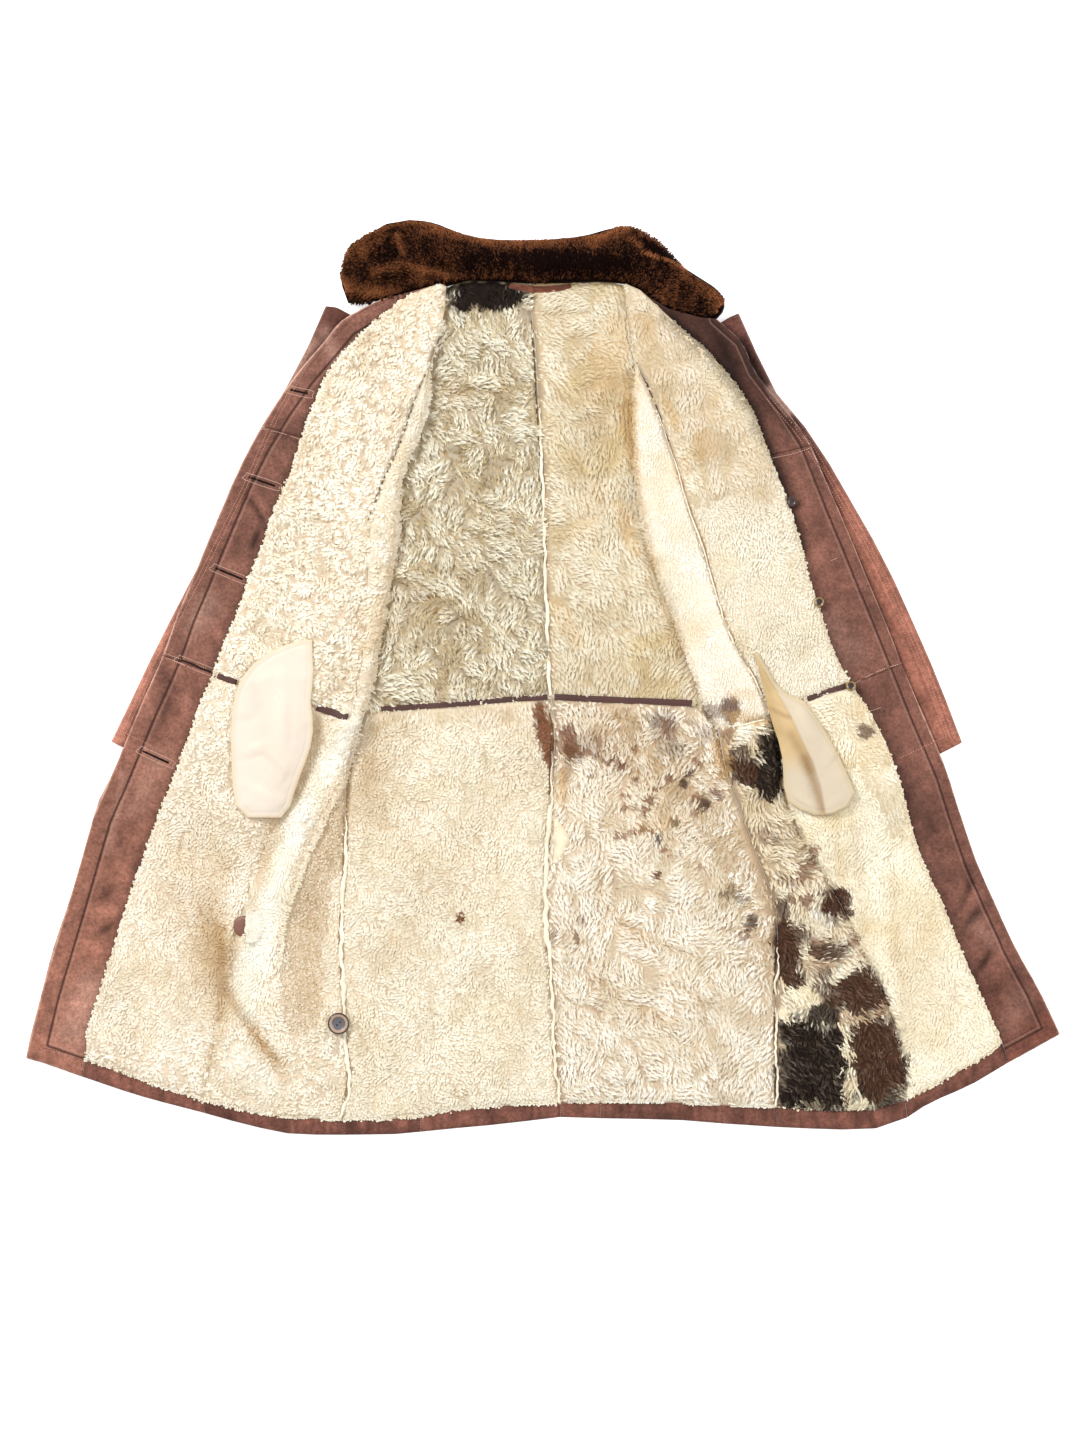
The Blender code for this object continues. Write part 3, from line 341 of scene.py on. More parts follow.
# %% [markdown]
# ## Sheepskin colours
# The coat is pieced from several fleeces: cream curls, grey-beige waves, tan combed wool and one brown and
# white skin. Where a fleece has a dark spot, it is listed here as an oval with a ragged edge: place, two
# radii, turn, colour and how strong it is. Wool is darker towards its root because little light gets down.
# %% Wool colours and spots
CREAM, IVORY, GREY = linear("#fdf5e8"), linear("#fffcf4"), linear("#fdf3dc")
TAN = np.array([0.86, 0.75, 0.53])           # what a tan cloud multiplies the wool's own colour by
SHADOW = np.array([0.68, 0.52, 0.33])        # the same for wool deep in a fold
STRAW, FAWN, TAUPE = linear("#d2ab74"), linear("#c4a78c"), linear("#745a4f")
BROWN, DARK, BLACK, SMOKE = linear("#7f543c"), linear("#4a2f22"), linear("#1e130e"), linear("#96815c")
SPOTS = [
    (-64, 439, 50.6, 17.2, -3, BLACK, 1), (-68, 447, 42, 12, 0, BLACK, 1), (-60, 436, 46, 14, -4, BLACK, 1),
    (-89, 434, 20.7, 16.1, 0, BLACK, 1), (-36, 438, 20.7, 11.5, 8, BLACK, 0.9),
    (2, -64, 10.9, 39.1, 11, BROWN, 1), (7, -93, 6.9, 16.1, 10, BROWN, 0.95),
    (31, -74, 11.5, 25.3, 15, BROWN, 0.85), (34, -86, 9.2, 10.3, 0, DARK, 0.6),
    (49, -88, 17.2, 5.8, -8, BROWN, 0.7), (68, -94, 11.5, 3.4, -15, BROWN, 0.6),
    (26, -111, 6.9, 10.3, 10, BROWN, 0.4), (55, -114, 6.9, 4, 0, BROWN, 0.6),
    (79, -96, 6.9, 4.6, 0, BROWN, 0.6), (90, -102, 9.2, 5.8, -10, BROWN, 0.9),
    (107, -81, 3.4, 6.3, -10, BROWN, 0.8), (107, -118, 5.8, 4, 0, BROWN, 0.8),
    (95, -137, 6.9, 3.4, -25, BROWN, 0.8), (94, -150, 6.9, 4, 0, BROWN, 0.75),
    (106, -151, 4.6, 2.9, 0, BROWN, 0.55), (123, -141, 5.2, 5.8, 15, BROWN, 0.85),
    (118, -155, 4, 6.9, -35, BROWN, 0.85), (131, -127, 2.9, 2.9, 0, BROWN, 0.8),
    (132, -51, 12.6, 9.2, 0, DARK, 0.45), (144, -58, 8, 14.9, 12, BROWN, 0.75),
    (153, -82, 10.3, 11.5, 0, DARK, 0.35), (169, -110, 6.3, 5.8, 0, DARK, 0.9),
    (161, -122, 5.8, 6.9, 0, DARK, 0.9), (145, -117, 4.6, 4.6, 0, BROWN, 0.85),
    (177, -99, 9.2, 4, -25, BROWN, 0.75), (185, -145, 10.9, 8, -20, DARK, 0.9),
    (174, -139, 6.9, 5.2, 20, BROWN, 0.8), (200, -136, 8, 8, 20, BROWN, 0.75),
    (205, -109, 6.9, 5.8, 0, BROWN, 0.5), (174, -156, 4, 6.9, 15, BROWN, 0.65),
    (152, -167, 4.6, 7.5, 25, DARK, 0.85), (115, -173, 4.6, 4.6, 0, BROWN, 0.9),
    (124, -177, 8, 4, 10, BROWN, 0.9), (106, -178, 8, 3.4, 8, BROWN, 0.7),
    (89, -183, 9.2, 3.4, 10, BROWN, 0.75), (132, -188, 4.6, 6.9, 0, DARK, 0.85),
    (140, -198, 4, 4, 0, BROWN, 0.75), (144, -205, 2.9, 3.4, 0, BROWN, 0.6),
    (131, -227, 4, 6.9, 0, BROWN, 0.95), (179, -218, 4, 3.4, 0, BROWN, 0.6),
    (195, -194, 5.8, 3.4, 0, BROWN, 0.4), (210, -249, 11.5, 3.4, 8, DARK, 0.55),
    (217, -241, 5.8, 4.6, 0, BROWN, 0.5), (228, -254, 10.3, 5.2, -15, DARK, 0.55),
    (240, -280, 8, 10.3, -25, DARK, 0.85), (233, -295, 5.8, 9.2, 0, BROWN, 0.8),
    (39, -300, 3.4, 9.2, 5, BROWN, 0.75), (45, -280, 6.9, 2.9, -25, BROWN, 0.5),
    (13, -293, 2.9, 11.5, 0, BROWN, 0.6), (7, -311, 5.8, 10.3, 0, BROWN, 0.4),
    (63, -385, 4, 10.3, 10, BROWN, 0.35), (66, -246, 2.3, 2.3, 0, BROWN, 0.5),
    (169, -52, 10.3, 4, -10, BROWN, 0.5), (181, -74, 6.9, 4.6, 0, BROWN, 0.25),
    (195, -39, 10.3, 10.3, 0, TAUPE, 0.6), (214, -37, 12.6, 16.1, 0, TAUPE, 0.95),
    (187, -65, 10.3, 10.3, 0, TAUPE, 0.35), (-95, -277, 5.2, 6.3, 0, BROWN, 1),
    (-222, -453, 3.4, 5.8, 0, BROWN, 0.7), (369, -63, 11.5, 9.2, -25, TAUPE, 0.85),
    (383, -51, 8, 4.6, 20, BROWN, 0.4), (264, -95, 13.8, 50.6, 2, BLACK, 0.95),
    (252, -72, 6.9, 20.7, -15, DARK, 0.7), (231, -113, 25.3, 12.6, -38, DARK, 0.85),
    (228, -85, 12.6, 6.9, 5, DARK, 0.85), (212, -64, 10.3, 5.8, 20, BROWN, 0.65),
    (259, -182, 14.9, 6.3, -20, BROWN, 0.6), (289, -179, 11.5, 5.8, 25, BROWN, 0.5),
    (308, -202, 8, 11.5, -30, BROWN, 0.8), (302, -217, 13.8, 6.9, 20, BROWN, 0.75),
    (284, -233, 21.8, 6.9, -8, DARK, 0.7), (296, -255, 27.6, 6.3, 5, BROWN, 0.8),
    (276, -265, 8, 16.1, 0, DARK, 0.85), (335, -257, 19.5, 17.2, 35, DARK, 1),
    (347, -272, 9.2, 9.2, 0, DARK, 0.9), (321, -270, 10.3, 6.9, 0, BROWN, 0.8),
    (282, -323, 16.1, 37.9, -4, DARK, 1), (292, -300, 12.6, 16.1, -25, DARK, 0.9),
    (314, -311, 13.8, 13.8, 0, BROWN, 0.8), (330, -313, 27.6, 9.2, 8, DARK, 0.75),
    (355, -303, 11.5, 4.6, 25, BROWN, 0.7), (337, -362, 16.1, 16.1, 0, BROWN, 0.75),
    (361, -365, 29.9, 24.1, -20, DARK, 1), (369, -341, 14.9, 11.5, 0, DARK, 0.95),
    (388, -374, 12.6, 14.9, -30, DARK, 0.95), (374, -419, 27.6, 32.2, -5, DARK, 1),
    (397, -440, 20.7, 46, 15, DARK, 1), (388, -469, 32.2, 29.9, 0, BLACK, 0.9),
    (367, -474, 13.8, 20.7, 0, BLACK, 0.95), (309, -442, 46, 52.9, 0, BLACK, 1),
    (291, -405, 23, 18.4, 0, BLACK, 1), (323, -385, 23, 16.1, -25, BLACK, 0.95),
    (293, -482, 27.6, 16.1, 0, BLACK, 1), (332, -481, 19.5, 18.4, 0, BLACK, 1),
    (337, -431, 13.8, 39.1, 0, BLACK, 1), (374, -442, 18.4, 8, 0, BROWN, 0.45),
    (78, 372, 22, 60, -15, STRAW, 0.35), (98, 290, 10, 60, 5, STRAW, 0.5),
    (52, 190, 14, 44, -35, STRAW, 0.25), (98, 170, 10, 46, 20, STRAW, 0.45),
    (28, 60, 12, 40, 30, STRAW, 0.25), (148, 300, 7, 26, 25, STRAW, 0.5),
    (186, 264, 18, 22, -30, STRAW, 0.35), (160, 236, 12, 18, 0, STRAW, 0.25),
    (118, 400, 12, 22, 20, STRAW, 0.3), (236, -48, 30, 9, -12, STRAW, 0.5), (226, -20, 20, 8, 0, STRAW, 0.3),
    (360, -40, 16, 12, 0, STRAW, 0.3), (238, -106, 27, 15, -12, DARK, 1), (258, -126, 16, 19, 0, BLACK, 1),
    (262, -95, 16, 34, 0, BLACK, 1), (277, -305, 14, 34, -6, DARK, 1), (288, -345, 14, 18, 0, DARK, 1),
    (337, -362, 18, 18, 0, DARK, 0.7), (330, -350, 26, 22, -20, DARK, 0.8),
    (232, -64, 9, 14, -20, IVORY, 0.9), (332, -268, 19, 17, 20, DARK, 1), (336, -313, 19, 10, 0, DARK, 0.7),
    (367, -358, 23, 23, -10, DARK, 1), (388, -440, 34, 50, 0, DARK, 1), (292, -236, 16, 9, 15, BROWN, 0.6),
    (42, -76, 34, 16, 0, BROWN, 0.40), (22, -128, 9, 28, 0, STRAW, 0.5), (140, -64, 16, 32, 0, TAUPE, 0.35),
    (205, -90, 12, 30, 10, STRAW, 0.5), (128, -170, 40, 9, 10, STRAW, 0.3),
    (112, -300, 40, 12, -20, STRAW, 0.2), (130, -390, 44, 12, -15, STRAW, 0.2),
    (60, -340, 14, 30, 10, STRAW, 0.15), (302, -369, 17.2, 14.9, -35, GREY, 0.8),
    (277, -385, 6.9, 8, 0, GREY, 0.9), (353, -389, 12.6, 4, 5, FAWN, 0.85),
    (379, -386, 16.1, 4.6, 22, FAWN, 0.9), (393, -374, 4.6, 8, -10, FAWN, 0.8),
    (348, -417, 4, 20.7, -8, GREY, 0.95), (350, -447, 4, 18.4, 4, GREY, 0.95),
    (355, -471, 5.8, 13.8, -25, GREY, 0.95), (366, -489, 9.2, 9.2, 0, GREY, 0.9),
    (240, -90, 4.6, 4, 0, FAWN, 0.8), (316, -285, 18.4, 14.9, -30, IVORY, 0.7),
    (319, -332, 23, 9.2, -10, FAWN, 0.6), (339, -342, 16.1, 4.6, 15, GREY, 0.7),
]
# Wool that lies in the shade of a fold: a line, half width in millimetres and how much.
SHADES = [
    ([(-243, -150), (-258, -220), (-268, -290), (-274, -370)], 20, 0.30),
    ([(-262, -60), (-284, -130)], 14, 0.6),
    ([(-366, -220), (-382, -260), (-384, -330), (-372, -380)], 18, 0.42),
    ([(-420, -240), (-455, -330)], 24, 0.12), ([(-396, -150), (-396, -190)], 22, 0.16),
    ([(-392, -290), (-386, -340)], 20, 0.25), ([(-366, -356), (-371, -388), (-386, -450)], 6, 0.5),
    ([(-358, -366), (-334, -406), (-302, -446)], 5, 0.8), ([(-410, -200), (-405, -260)], 26, 0.28),
    ([(-352, -310), (-358, -350)], 8, 0.5), ([(-500, -330), (-470, -430)], 22, 0.14),
    ([(-345, -100), (-318, -170), (-322, -230)], 18, 0.22),
    ([(-369, -290), (-366, -354), (-351, -380), (-323, -423), (-297, -463)], 8, 0.75),
    ([(-385, -270), (-366, -330)], 18, 0.35), ([(-280, -90), (-290, -160)], 12, 0.30),
    ([(-15, -95), (-90, -200), (-176, -325)], 24, 0.22), ([(-222, -60), (-232, -130)], 9, 0.4),
    ([(-184, -60), (-204, -110), (-214, -150)], 22, 0.34),
    ([(-300, -130), (-318, -210), (-330, -270)], 8, 0.35), ([(-190, -110), (-170, -180)], 26, 0.24),
    ([(232, -175), (255, -233), (267, -290), (263, -348)], 10, 0.45),
    ([(89, -277), (123, -302), (158, -313)], 4, 0.5), ([(66, -210), (66, -256), (89, -279)], 4, 0.35),
    ([(37, -262), (48, -285)], 4, 0.3), ([(60, -345), (110, -380), (150, -400)], 4, 0.35),
    ([(130, -340), (190, -372)], 4, 0.3), ([(355, -170), (366, -260), (371, -330)], 9, 0.30),
    ([(400, -230), (406, -330), (420, -400)], 8, 0.28), ([(333, -150), (345, -280)], 8, 0.25),
    ([(-212, -48), (-222, -100)], 10, 0.35), ([(-186, 90), (-192, 10), (-205, -40)], 5, 0.35),
    ([(99, 345), (106, 230), (128, 110), (158, 30)], 6, 0.42),
    ([(120, 420), (150, 340), (205, 270), (240, 215)], 34, 0.30),
    ([(20, 420), (60, 350), (50, 250)], 30, 0.20), ([(60, -60), (120, -90), (150, -150)], 46, 0.42),
    ([(215, -70), (205, -120)], 12, 0.4), ([(-165, 420), (-190, 370)], 26, 0.22),
    ([(-163, 225), (-170, 150), (-180, 60)], 7, 0.32), ([(430, -300), (450, -400)], 36, 0.24),
    ([(-158, 300), (-178, 250)], 14, 0.30), ([(-205, 60), (-215, 0)], 20, 0.20),
    ([(-60, -45), (-10, -60)], 22, 0.25), ([(-210, -45), (-190, -160)], 14, 0.30),
    ([(-110, 330), (-60, 320), (-30, 350)], 12, 0.30), ([(-170, 110), (-130, 90), (-90, 50)], 16, 0.30),
    ([(-140, 0), (-60, -5)], 14, 0.25), ([(-90, 200), (-40, 170)], 12, 0.25),
    ([(-300, 215), (-262, 260)], 22, 0.18),
]
# Wool on the crest of a fold, which the light reaches first, given in the same way.
CRESTS = [
    ([(-216, -50), (-240, -100), (-279, -165), (-308, -244), (-323, -286), (-334, -320)], 16, 1.0),
    ([(-334, -320), (-348, -350), (-340, -385)], 14, 0.8), ([(-350, -440), (-310, -470)], 20, 0.6),
    ([(-120, 385), (-150, 310), (-181, 240)], 6, 0.4),
]


def oval(p, x, y, rx, ry, turn):
    """1 well inside an oval, 0 outside, with a ragged edge."""
    c, s = math.cos(math.radians(turn)), math.sin(math.radians(turn))
    dx, dy = p[:, 0] - x, p[:, 1] - y
    r = np.hypot((dx * c + dy * s) / rx, (dy * c - dx * s) / ry)
    rough = 0.22 * noise(p, max(3.0, 0.45 * min(rx, ry)), 77) + 0.16 * noise(p, 4.5, 78)
    return ease((1.12 - r + rough) / 0.45)


def spotted(p, colour):
    """The fleece's colour: painted shade in folds, painted highlight on crests, then its spots laid over it.
    """
    out = colour.copy()
    # Painted shade: wool along each fold line is darkened towards tan.
    for line, half, strong in SHADES:
        out = blend(out, out * SHADOW, (strong * near_line(p, line, half))[:, None])
    # Painted highlight: wool on each fold's crest is lifted towards ivory.
    for line, half, strong in CRESTS:
        w = (strong * near_line(p, line, half))[:, None]
        out = out * (1 - 0.7 * w) + np.maximum(out, IVORY * 0.96) * 0.7 * w
    for x, y, rx, ry, turn, shade, strong in SPOTS:
        near = np.abs(p[:, 0] - x) + np.abs(p[:, 1] - y) < 2.2 * (rx + ry)
        if near.any():
            w = (strong * oval(p[near], x, y, rx, ry, turn))[:, None]
            out[near] = blend(out[near], shade, w)
    return out


# %% [markdown]
# ## Wool materials
# Wool is matt, with a soft sheen where fibres catch light at a grazing angle. Its colour comes from the mesh,
# one value at each vertex, so that roots can be dark and tips pale. The ground, the felted wool deep between
# the locks, gets a fine bump as coarse as a strand of fibres, 2 to 3 mm. Light that enters pale wool bounces
# from fibre to fibre and comes out warmer, so its shadows are never grey; a faint warm glow stands for that.
# %% Wool materials
def wool_material(name, bump, glow_tint, glow_strength):
    mat, tree, shader = material(name, {"Emission Strength": glow_strength, "Roughness": 0.88,
                                        "Specular IOR Level": 0.12, "Sheen Weight": 0.05,
                                        "Sheen Roughness": 0.6})
    tint = add(tree, "ShaderNodeAttribute", attribute_name="tint")
    place = add(tree, "ShaderNodeTexCoord")
    fibre = add(tree, "ShaderNodeTexNoise", {"Vector": place.outputs["Object"], "Scale": 420.0, "Detail": 3.0,
                                             "Roughness": 0.6, "Distortion": 1.2})
    shade = add(tree, "ShaderNodeMapRange", {"Value": fibre.outputs["Fac"], "From Min": 0.3, "From Max": 0.7,
                                             "To Min": 0.86, "To Max": 1.06})
    mixed = add(tree, "ShaderNodeMix", {0: 1.0, 6: tint.outputs["Color"], 7: shade.outputs["Result"]},
                data_type="RGBA", blend_type="MULTIPLY")
    own = add(tree, "ShaderNodeMix", {0: 1.0, 6: mixed.outputs[2], 7: (0.825, 0.885, 0.925, 1)},
              data_type="RGBA",
              blend_type="MULTIPLY")
    glow = add(tree, "ShaderNodeMix", {0: 1.0, 6: mixed.outputs[2], 7: (*glow_tint, 1)}, data_type="RGBA",
               blend_type="MULTIPLY")
    tree.links.new(own.outputs[2], shader.inputs["Base Color"])
    tree.links.new(glow.outputs[2], shader.inputs["Emission Color"])
    if bump:
        relief = add(tree, "ShaderNodeBump", {"Height": fibre.outputs["Fac"], "Strength": 0.8,
                                              "Distance": bump * MM})
        tree.links.new(relief.outputs["Normal"], shader.inputs["Normal"])
    return mat


wool_lock = wool_material("sheep wool, locks", 0, (0.90, 0.76, 0.50), 0.16)
wool_ground = wool_material("sheep wool, felted ground", 1.6, (1.0, 0.77, 0.44), 0.30)

# %% [markdown]
# ## Suede
# Suede is leather sanded on its flesh side, so it has a short nap. Brushed one way it is pale, the other way
# dark, which gives clouds a few centimetres wide; edges rub pale. The crests of its creases get painted
# highlight and their hollows painted shade. The clouds are in the mesh's colour, and the shader adds the
# nap's grain, drawn 1 to 2 mm coarse so that it shows. Each facing also carries `edge`, its distance in
# millimetres from the coat's front edge plus RIM_AT, so that the shader can draw as thin crisp lines the
# painted shade of the topstitched groove, a painted highlight on the ridge beside it and the rubbed rim.
# %% Suede material
RIM_AT, GROOVE_AT = 10.0, 30.6


def stripe(tree, value, centre, half):
    """1 where the value is near the centre, 0 beyond this half width."""
    off = add(tree, "ShaderNodeMath", {0: value, 1: centre}, operation="SUBTRACT")
    away = add(tree, "ShaderNodeMath", {0: off.outputs["Value"]}, operation="ABSOLUTE")
    ramp = add(tree, "ShaderNodeMapRange", {"Value": away.outputs["Value"], "From Min": 0.2 * half,
                                            "From Max": half, "To Min": 1.0, "To Max": 0.0},
               interpolation_type="SMOOTHSTEP")
    return ramp.outputs["Result"]


def suede_material(name, grain, contrast):
    mat, tree, shader = material(name, {"Roughness": 0.95, "Specular IOR Level": 0.2, "Sheen Weight": 0.35,
                                        "Sheen Roughness": 0.45, "Sheen Tint": (*linear("#e8bfb4"), 1)})
    tint = add(tree, "ShaderNodeAttribute", attribute_name="tint")
    place = add(tree, "ShaderNodeTexCoord")
    nap = add(tree, "ShaderNodeTexNoise", {"Vector": place.outputs["Object"], "Scale": grain, "Detail": 5.0,
                                           "Roughness": 0.7, "Distortion": 0.3})
    cloud = add(tree, "ShaderNodeTexNoise", {"Vector": place.outputs["Object"], "Scale": 70.0, "Detail": 6.0,
                                             "Roughness": 0.7, "Distortion": 0.8})
    fine = add(tree, "ShaderNodeMapRange", {"Value": nap.outputs["Fac"], "From Min": 0.3, "From Max": 0.7,
                                            "To Min": 1 - contrast, "To Max": 1 + contrast})
    broad = add(tree, "ShaderNodeMapRange", {"Value": cloud.outputs["Fac"], "From Min": 0.35,
                                             "From Max": 0.65,
                                             "To Min": 0.86, "To Max": 1.14})
    both = add(tree, "ShaderNodeMath", {0: fine.outputs["Result"], 1: broad.outputs["Result"]},
               operation="MULTIPLY")
    mixed = add(tree, "ShaderNodeMix", {0: 1.0, 6: tint.outputs["Color"], 7: both.outputs["Value"]},
                data_type="RGBA", blend_type="MULTIPLY")
    edge = add(tree, "ShaderNodeAttribute", attribute_name="edge")
    patchy = add(tree, "ShaderNodeMapRange", {"Value": cloud.outputs["Fac"], "From Min": 0.38,
                                              "From Max": 0.62,
                                              "To Min": 0.25, "To Max": 0.85})
    rim = add(tree, "ShaderNodeMath", {0: stripe(tree, edge.outputs["Fac"], RIM_AT, 2.6),
                                       1: patchy.outputs["Result"]}, operation="MULTIPLY")
    # Painted highlight on the ridge beside the groove, in the rubbed suede's pale colour.
    ridge = add(tree, "ShaderNodeMath", {0: stripe(tree, edge.outputs["Fac"], GROOVE_AT + 3.3, 1.5),
                                         1: 0.13}, operation="MULTIPLY")
    rubbed = add(tree, "ShaderNodeMath", {0: rim.outputs["Value"], 1: ridge.outputs["Value"]},
                 operation="MAXIMUM")
    worn = add(tree, "ShaderNodeMix", {0: rubbed.outputs["Value"], 6: mixed.outputs[2],
                                       7: (*RUBBED_AND_HIGHLIGHT, 1)}, data_type="RGBA")
    # Painted shade: the topstitched groove is drawn as a dark line.
    sunk = add(tree, "ShaderNodeMath", {0: stripe(tree, edge.outputs["Fac"], GROOVE_AT, 2.1), 1: 0.78},
               operation="MULTIPLY")
    lined = add(tree, "ShaderNodeMix", {0: sunk.outputs["Value"], 6: worn.outputs[2],
                                        7: (*(PLUM * 0.16), 1)}, data_type="RGBA")
    tree.links.new(lined.outputs[2], shader.inputs["Base Color"])
    relief = add(tree, "ShaderNodeBump", {"Height": nap.outputs["Fac"], "Strength": 0.5,
                                          "Distance": 0.5 * MM})
    tree.links.new(relief.outputs["Normal"], shader.inputs["Normal"])
    return mat


# The last colour is the pale of rubbed suede, used also for painted highlights.
MAUVE, PLUM, TERRACOTTA, RUBBED_AND_HIGHLIGHT = linear("#78513f"), linear("#704b40"), linear("#a87160"), linear("#cfa796")
suede = suede_material("sheepskin suede, brushed nap", 290.0, 0.40)
hide = suede_material("sheepskin leather, cut edge", 700.0, 0.06)

# %% [markdown]
# ## Wool panels: the felted ground
# Each wool panel first gets its ground: the node's form, two to three millimetres lower, with soft domes.
# Then come its locks. Wool is crimped, and neighbouring fibres are crimped in step, so it lies in rows of
# small waves, like shingles, which turn from patch to patch. `row` is the distance between those waves.
# %% How each panel's wool lies
# depth, hollow, bright and crack set each lock's painted light and shade: how dark its sides, its cell's
# border and the hollows are painted, and how bright its top; depth also sets how much root colour shows.
KIND_COLUMNS = ("row", "gap", "long", "wide", "blunt", "steps", "bend", "wave", "patch", "spread", "turn",
                "warp", "lock", "arch", "stand", "dome", "depth", "hollow", "bright", "crack", "tuft",
                "squeeze")
KIND_ROWS = {
    "curly": (4.4, 1.7, 7.4, 2.9, 0.8, 3, 2.0, 0.0, 8.5, 2.0, 0.9, 0.25, 4.4, 0.25, 1.9, 2.5, 0.28, 0.12,
        1.03, 1.5, 0.0, 1.0),
    "wavy": (5.8, 1.8, 12.5, 2.9, 0.4, 4, 0.3, 0.6, 23.0, 0.9, 1.0, 0.4, 6.5, 0.6, 2.6, 4.4, 0.86, 0.36, 1.12,
        2.4, 0.0, 1.0),
    "rippled": (5.2, 1.7, 11.0, 2.6, 0.4, 4, 0.2, 0.5, 22.0, 0.7, 0.8, 0.4, 6.0, 0.3, 1.9, 2.4, 0.40, 0.22,
        1.07, 2.0, 0.0, 1.0),
    "combed": (4.6, 1.7, 9.5, 2.6, 0.4, 3, 0.1, 0.3, 30.0, 0.4, 0.45, 0.5, 6.0, 0.35, 1.8, 2.2, 0.36, 0.18,
        1.05, 1.5, 0.0, 1.0),
    "plush": (3.7, 1.8, 5.8, 2.8, 0.6, 3, 0.6, 0.0, 13.0, 0.9, 0.8, 0.4, 3.8, 0.25, 1.4, 1.0, 0.20, 0.11, 1.0,
        1.5, 0.0, 1.0),
    "velvet": (3.2, 1.7, 5.2, 2.4, 0.5, 2, 0.2, 0.0, 22.0, 0.4, 0.5, 0.4, 4.0, 0.15, 1.1, 0.3, 0.08, 0.0, 1.0,
        1.5, 0.0, 1.0),
    "long": (5.2, 1.7, 11.5, 2.5, 0.45, 4, 0.3, 0.25, 15.0, 0.55, 0.6, 0.35, 5.0, 0.45, 2.7, 2.6, 0.38, 0.20,
        1.0, 1.5, 0.75, 1.0),
    "shaggy": (6.4, 1.9, 10.0, 3.1, 0.6, 4, 1.2, 0.3, 11.0, 1.3, 0.7, 0.35, 6.0, 0.5, 3.2, 4.0, 0.34, 0.1,
        1.0, 1.5, 0.0, 1.0),
    "soft": (3.6, 1.7, 7.0, 2.6, 0.45, 3, 0.4, 0.0, 17.0, 0.6, 0.6, 0.4, 4.2, 0.15, 1.2, 0.8, 0.10, 0.05, 1.0,
        1.5, 0.0, 1.0),
    "crackled": (2.8, 1.6, 4.4, 2.8, 0.8, 2, 0.6, 0.0, 9.5, 1.2, 0.6, 0.3, 8.0, 0.1, 1.5, 3.4, 0.85, 0.0, 1.0,
        4.0, 0.0, 1.5),
}
KINDS = {name: dict(zip(KIND_COLUMNS, row)) for name, row in KIND_ROWS.items()}
# Panel: kind, pale colour, root colour, directions the wool is combed in as x, y, degrees.
PANELS = {
    "back_bodice_left": ("wavy", GREY, linear("#76593a"), [(-60, 400, -70), (-100, 330, -50), (-40, 300, -80),
        (-120, 200, -100), (-50, 180, -60), (-130, 80, -80), (-50, 60, -95), (-150, 0, -80)]),
    "back_bodice_right": ("combed", linear("#f1e8d3"), linear("#ab8452"), [(20, 430, -15), (60, 400, -35),
        (100, 400, -55), (30, 330, -15), (80, 330, -45), (20, 230, -30), (70, 230, -60), (110, 200, -75),
        (30, 120, -50), (80, 120, -70), (130, 80, -60), (40, 20, -80), (120, 10, -95), (170, 0, -100)]),
    "back_skirt_left": ("plush", linear("#f6eede"), linear("#c79d68"), [(-100, -60, -60), (-180, -120, -80),
        (-60, -200, -110), (-150, -300, -95), (-50, -400, -75), (-180, -450, -90)]),
    "back_skirt_right": ("rippled", linear("#fcf5e8"), linear("#b38957"), [(40, -60, -60), (120, -60, -85),
        (190, -90, -95), (40, -160, -80), (120, -170, -60), (200, -180, -110), (30, -260, -95),
        (110, -260, -40), (190, -260, -120), (60, -330, -70), (150, -340, -50), (240, -340, -110),
        (50, -440, -95), (150, -440, -60), (230, -450, -105)]),
    "side_bodice_left": ("plush", linear("#fdf5e8"), linear("#cdb089"), [(-140, 330, -100),
        (-185, 100, -95)]),
    "side_bodice_right": ("velvet", linear("#faf0e2"), linear("#d9b484"), [(120, 250, -90), (190, 60, -75)]),
    "front_bodice_left": ("curly", linear("#fcf4e6"), linear("#cba77c"), [(-150, 420, -60),
        (-250, 100, -95)]),
    "front_bodice_right": ("plush", linear("#f0e8d8"), linear("#cba678"), [(110, 420, -75), (130, 360, -70),
        (200, 330, -50), (180, 280, -80), (240, 200, -60), (200, 150, -85), (280, 60, -70), (230, 60, -95),
        (320, 0, -80)]),
    "side_skirt_left": ("plush", linear("#fbf2e2"), linear("#b98a50"), [(-240, -60, -60), (-270, -200, -100),
        (-290, -350, -85), (-300, -470, -90)]),
    "side_skirt_right": ("long", linear("#fdf3de"), linear("#9a6f42"), [(210, -62, -15), (232, -72, -50),
        (235, -110, -38), (264, -80, -85), (266, -130, -80), (250, -165, -50), (285, -175, -20),
        (300, -215, 20), (262, -225, -40), (335, -255, -50), (310, -280, -125), (285, -300, -80),
        (325, -312, 10), (345, -335, -20), (300, -365, -50), (355, -365, -75), (385, -370, -60),
        (300, -420, -60), (300, -470, -50), (340, -440, -75), (375, -430, -85), (370, -470, -110),
        (400, -470, -75)]),
    "front_skirt_left": ("plush", CREAM, linear("#c0935a"), [(-400, -60, -110), (-330, -140, -70),
        (-470, -260, -120), (-400, -300, -80), (-480, -420, -110), (-420, -450, -80)]),
    "front_skirt_right": ("soft", linear("#faf1de"), linear("#caa26a"), [(330, -60, -60), (390, -90, -30),
        (320, -170, -70), (420, -220, -75), (400, -330, -80), (480, -380, -70), (450, -450, -80)]),
}
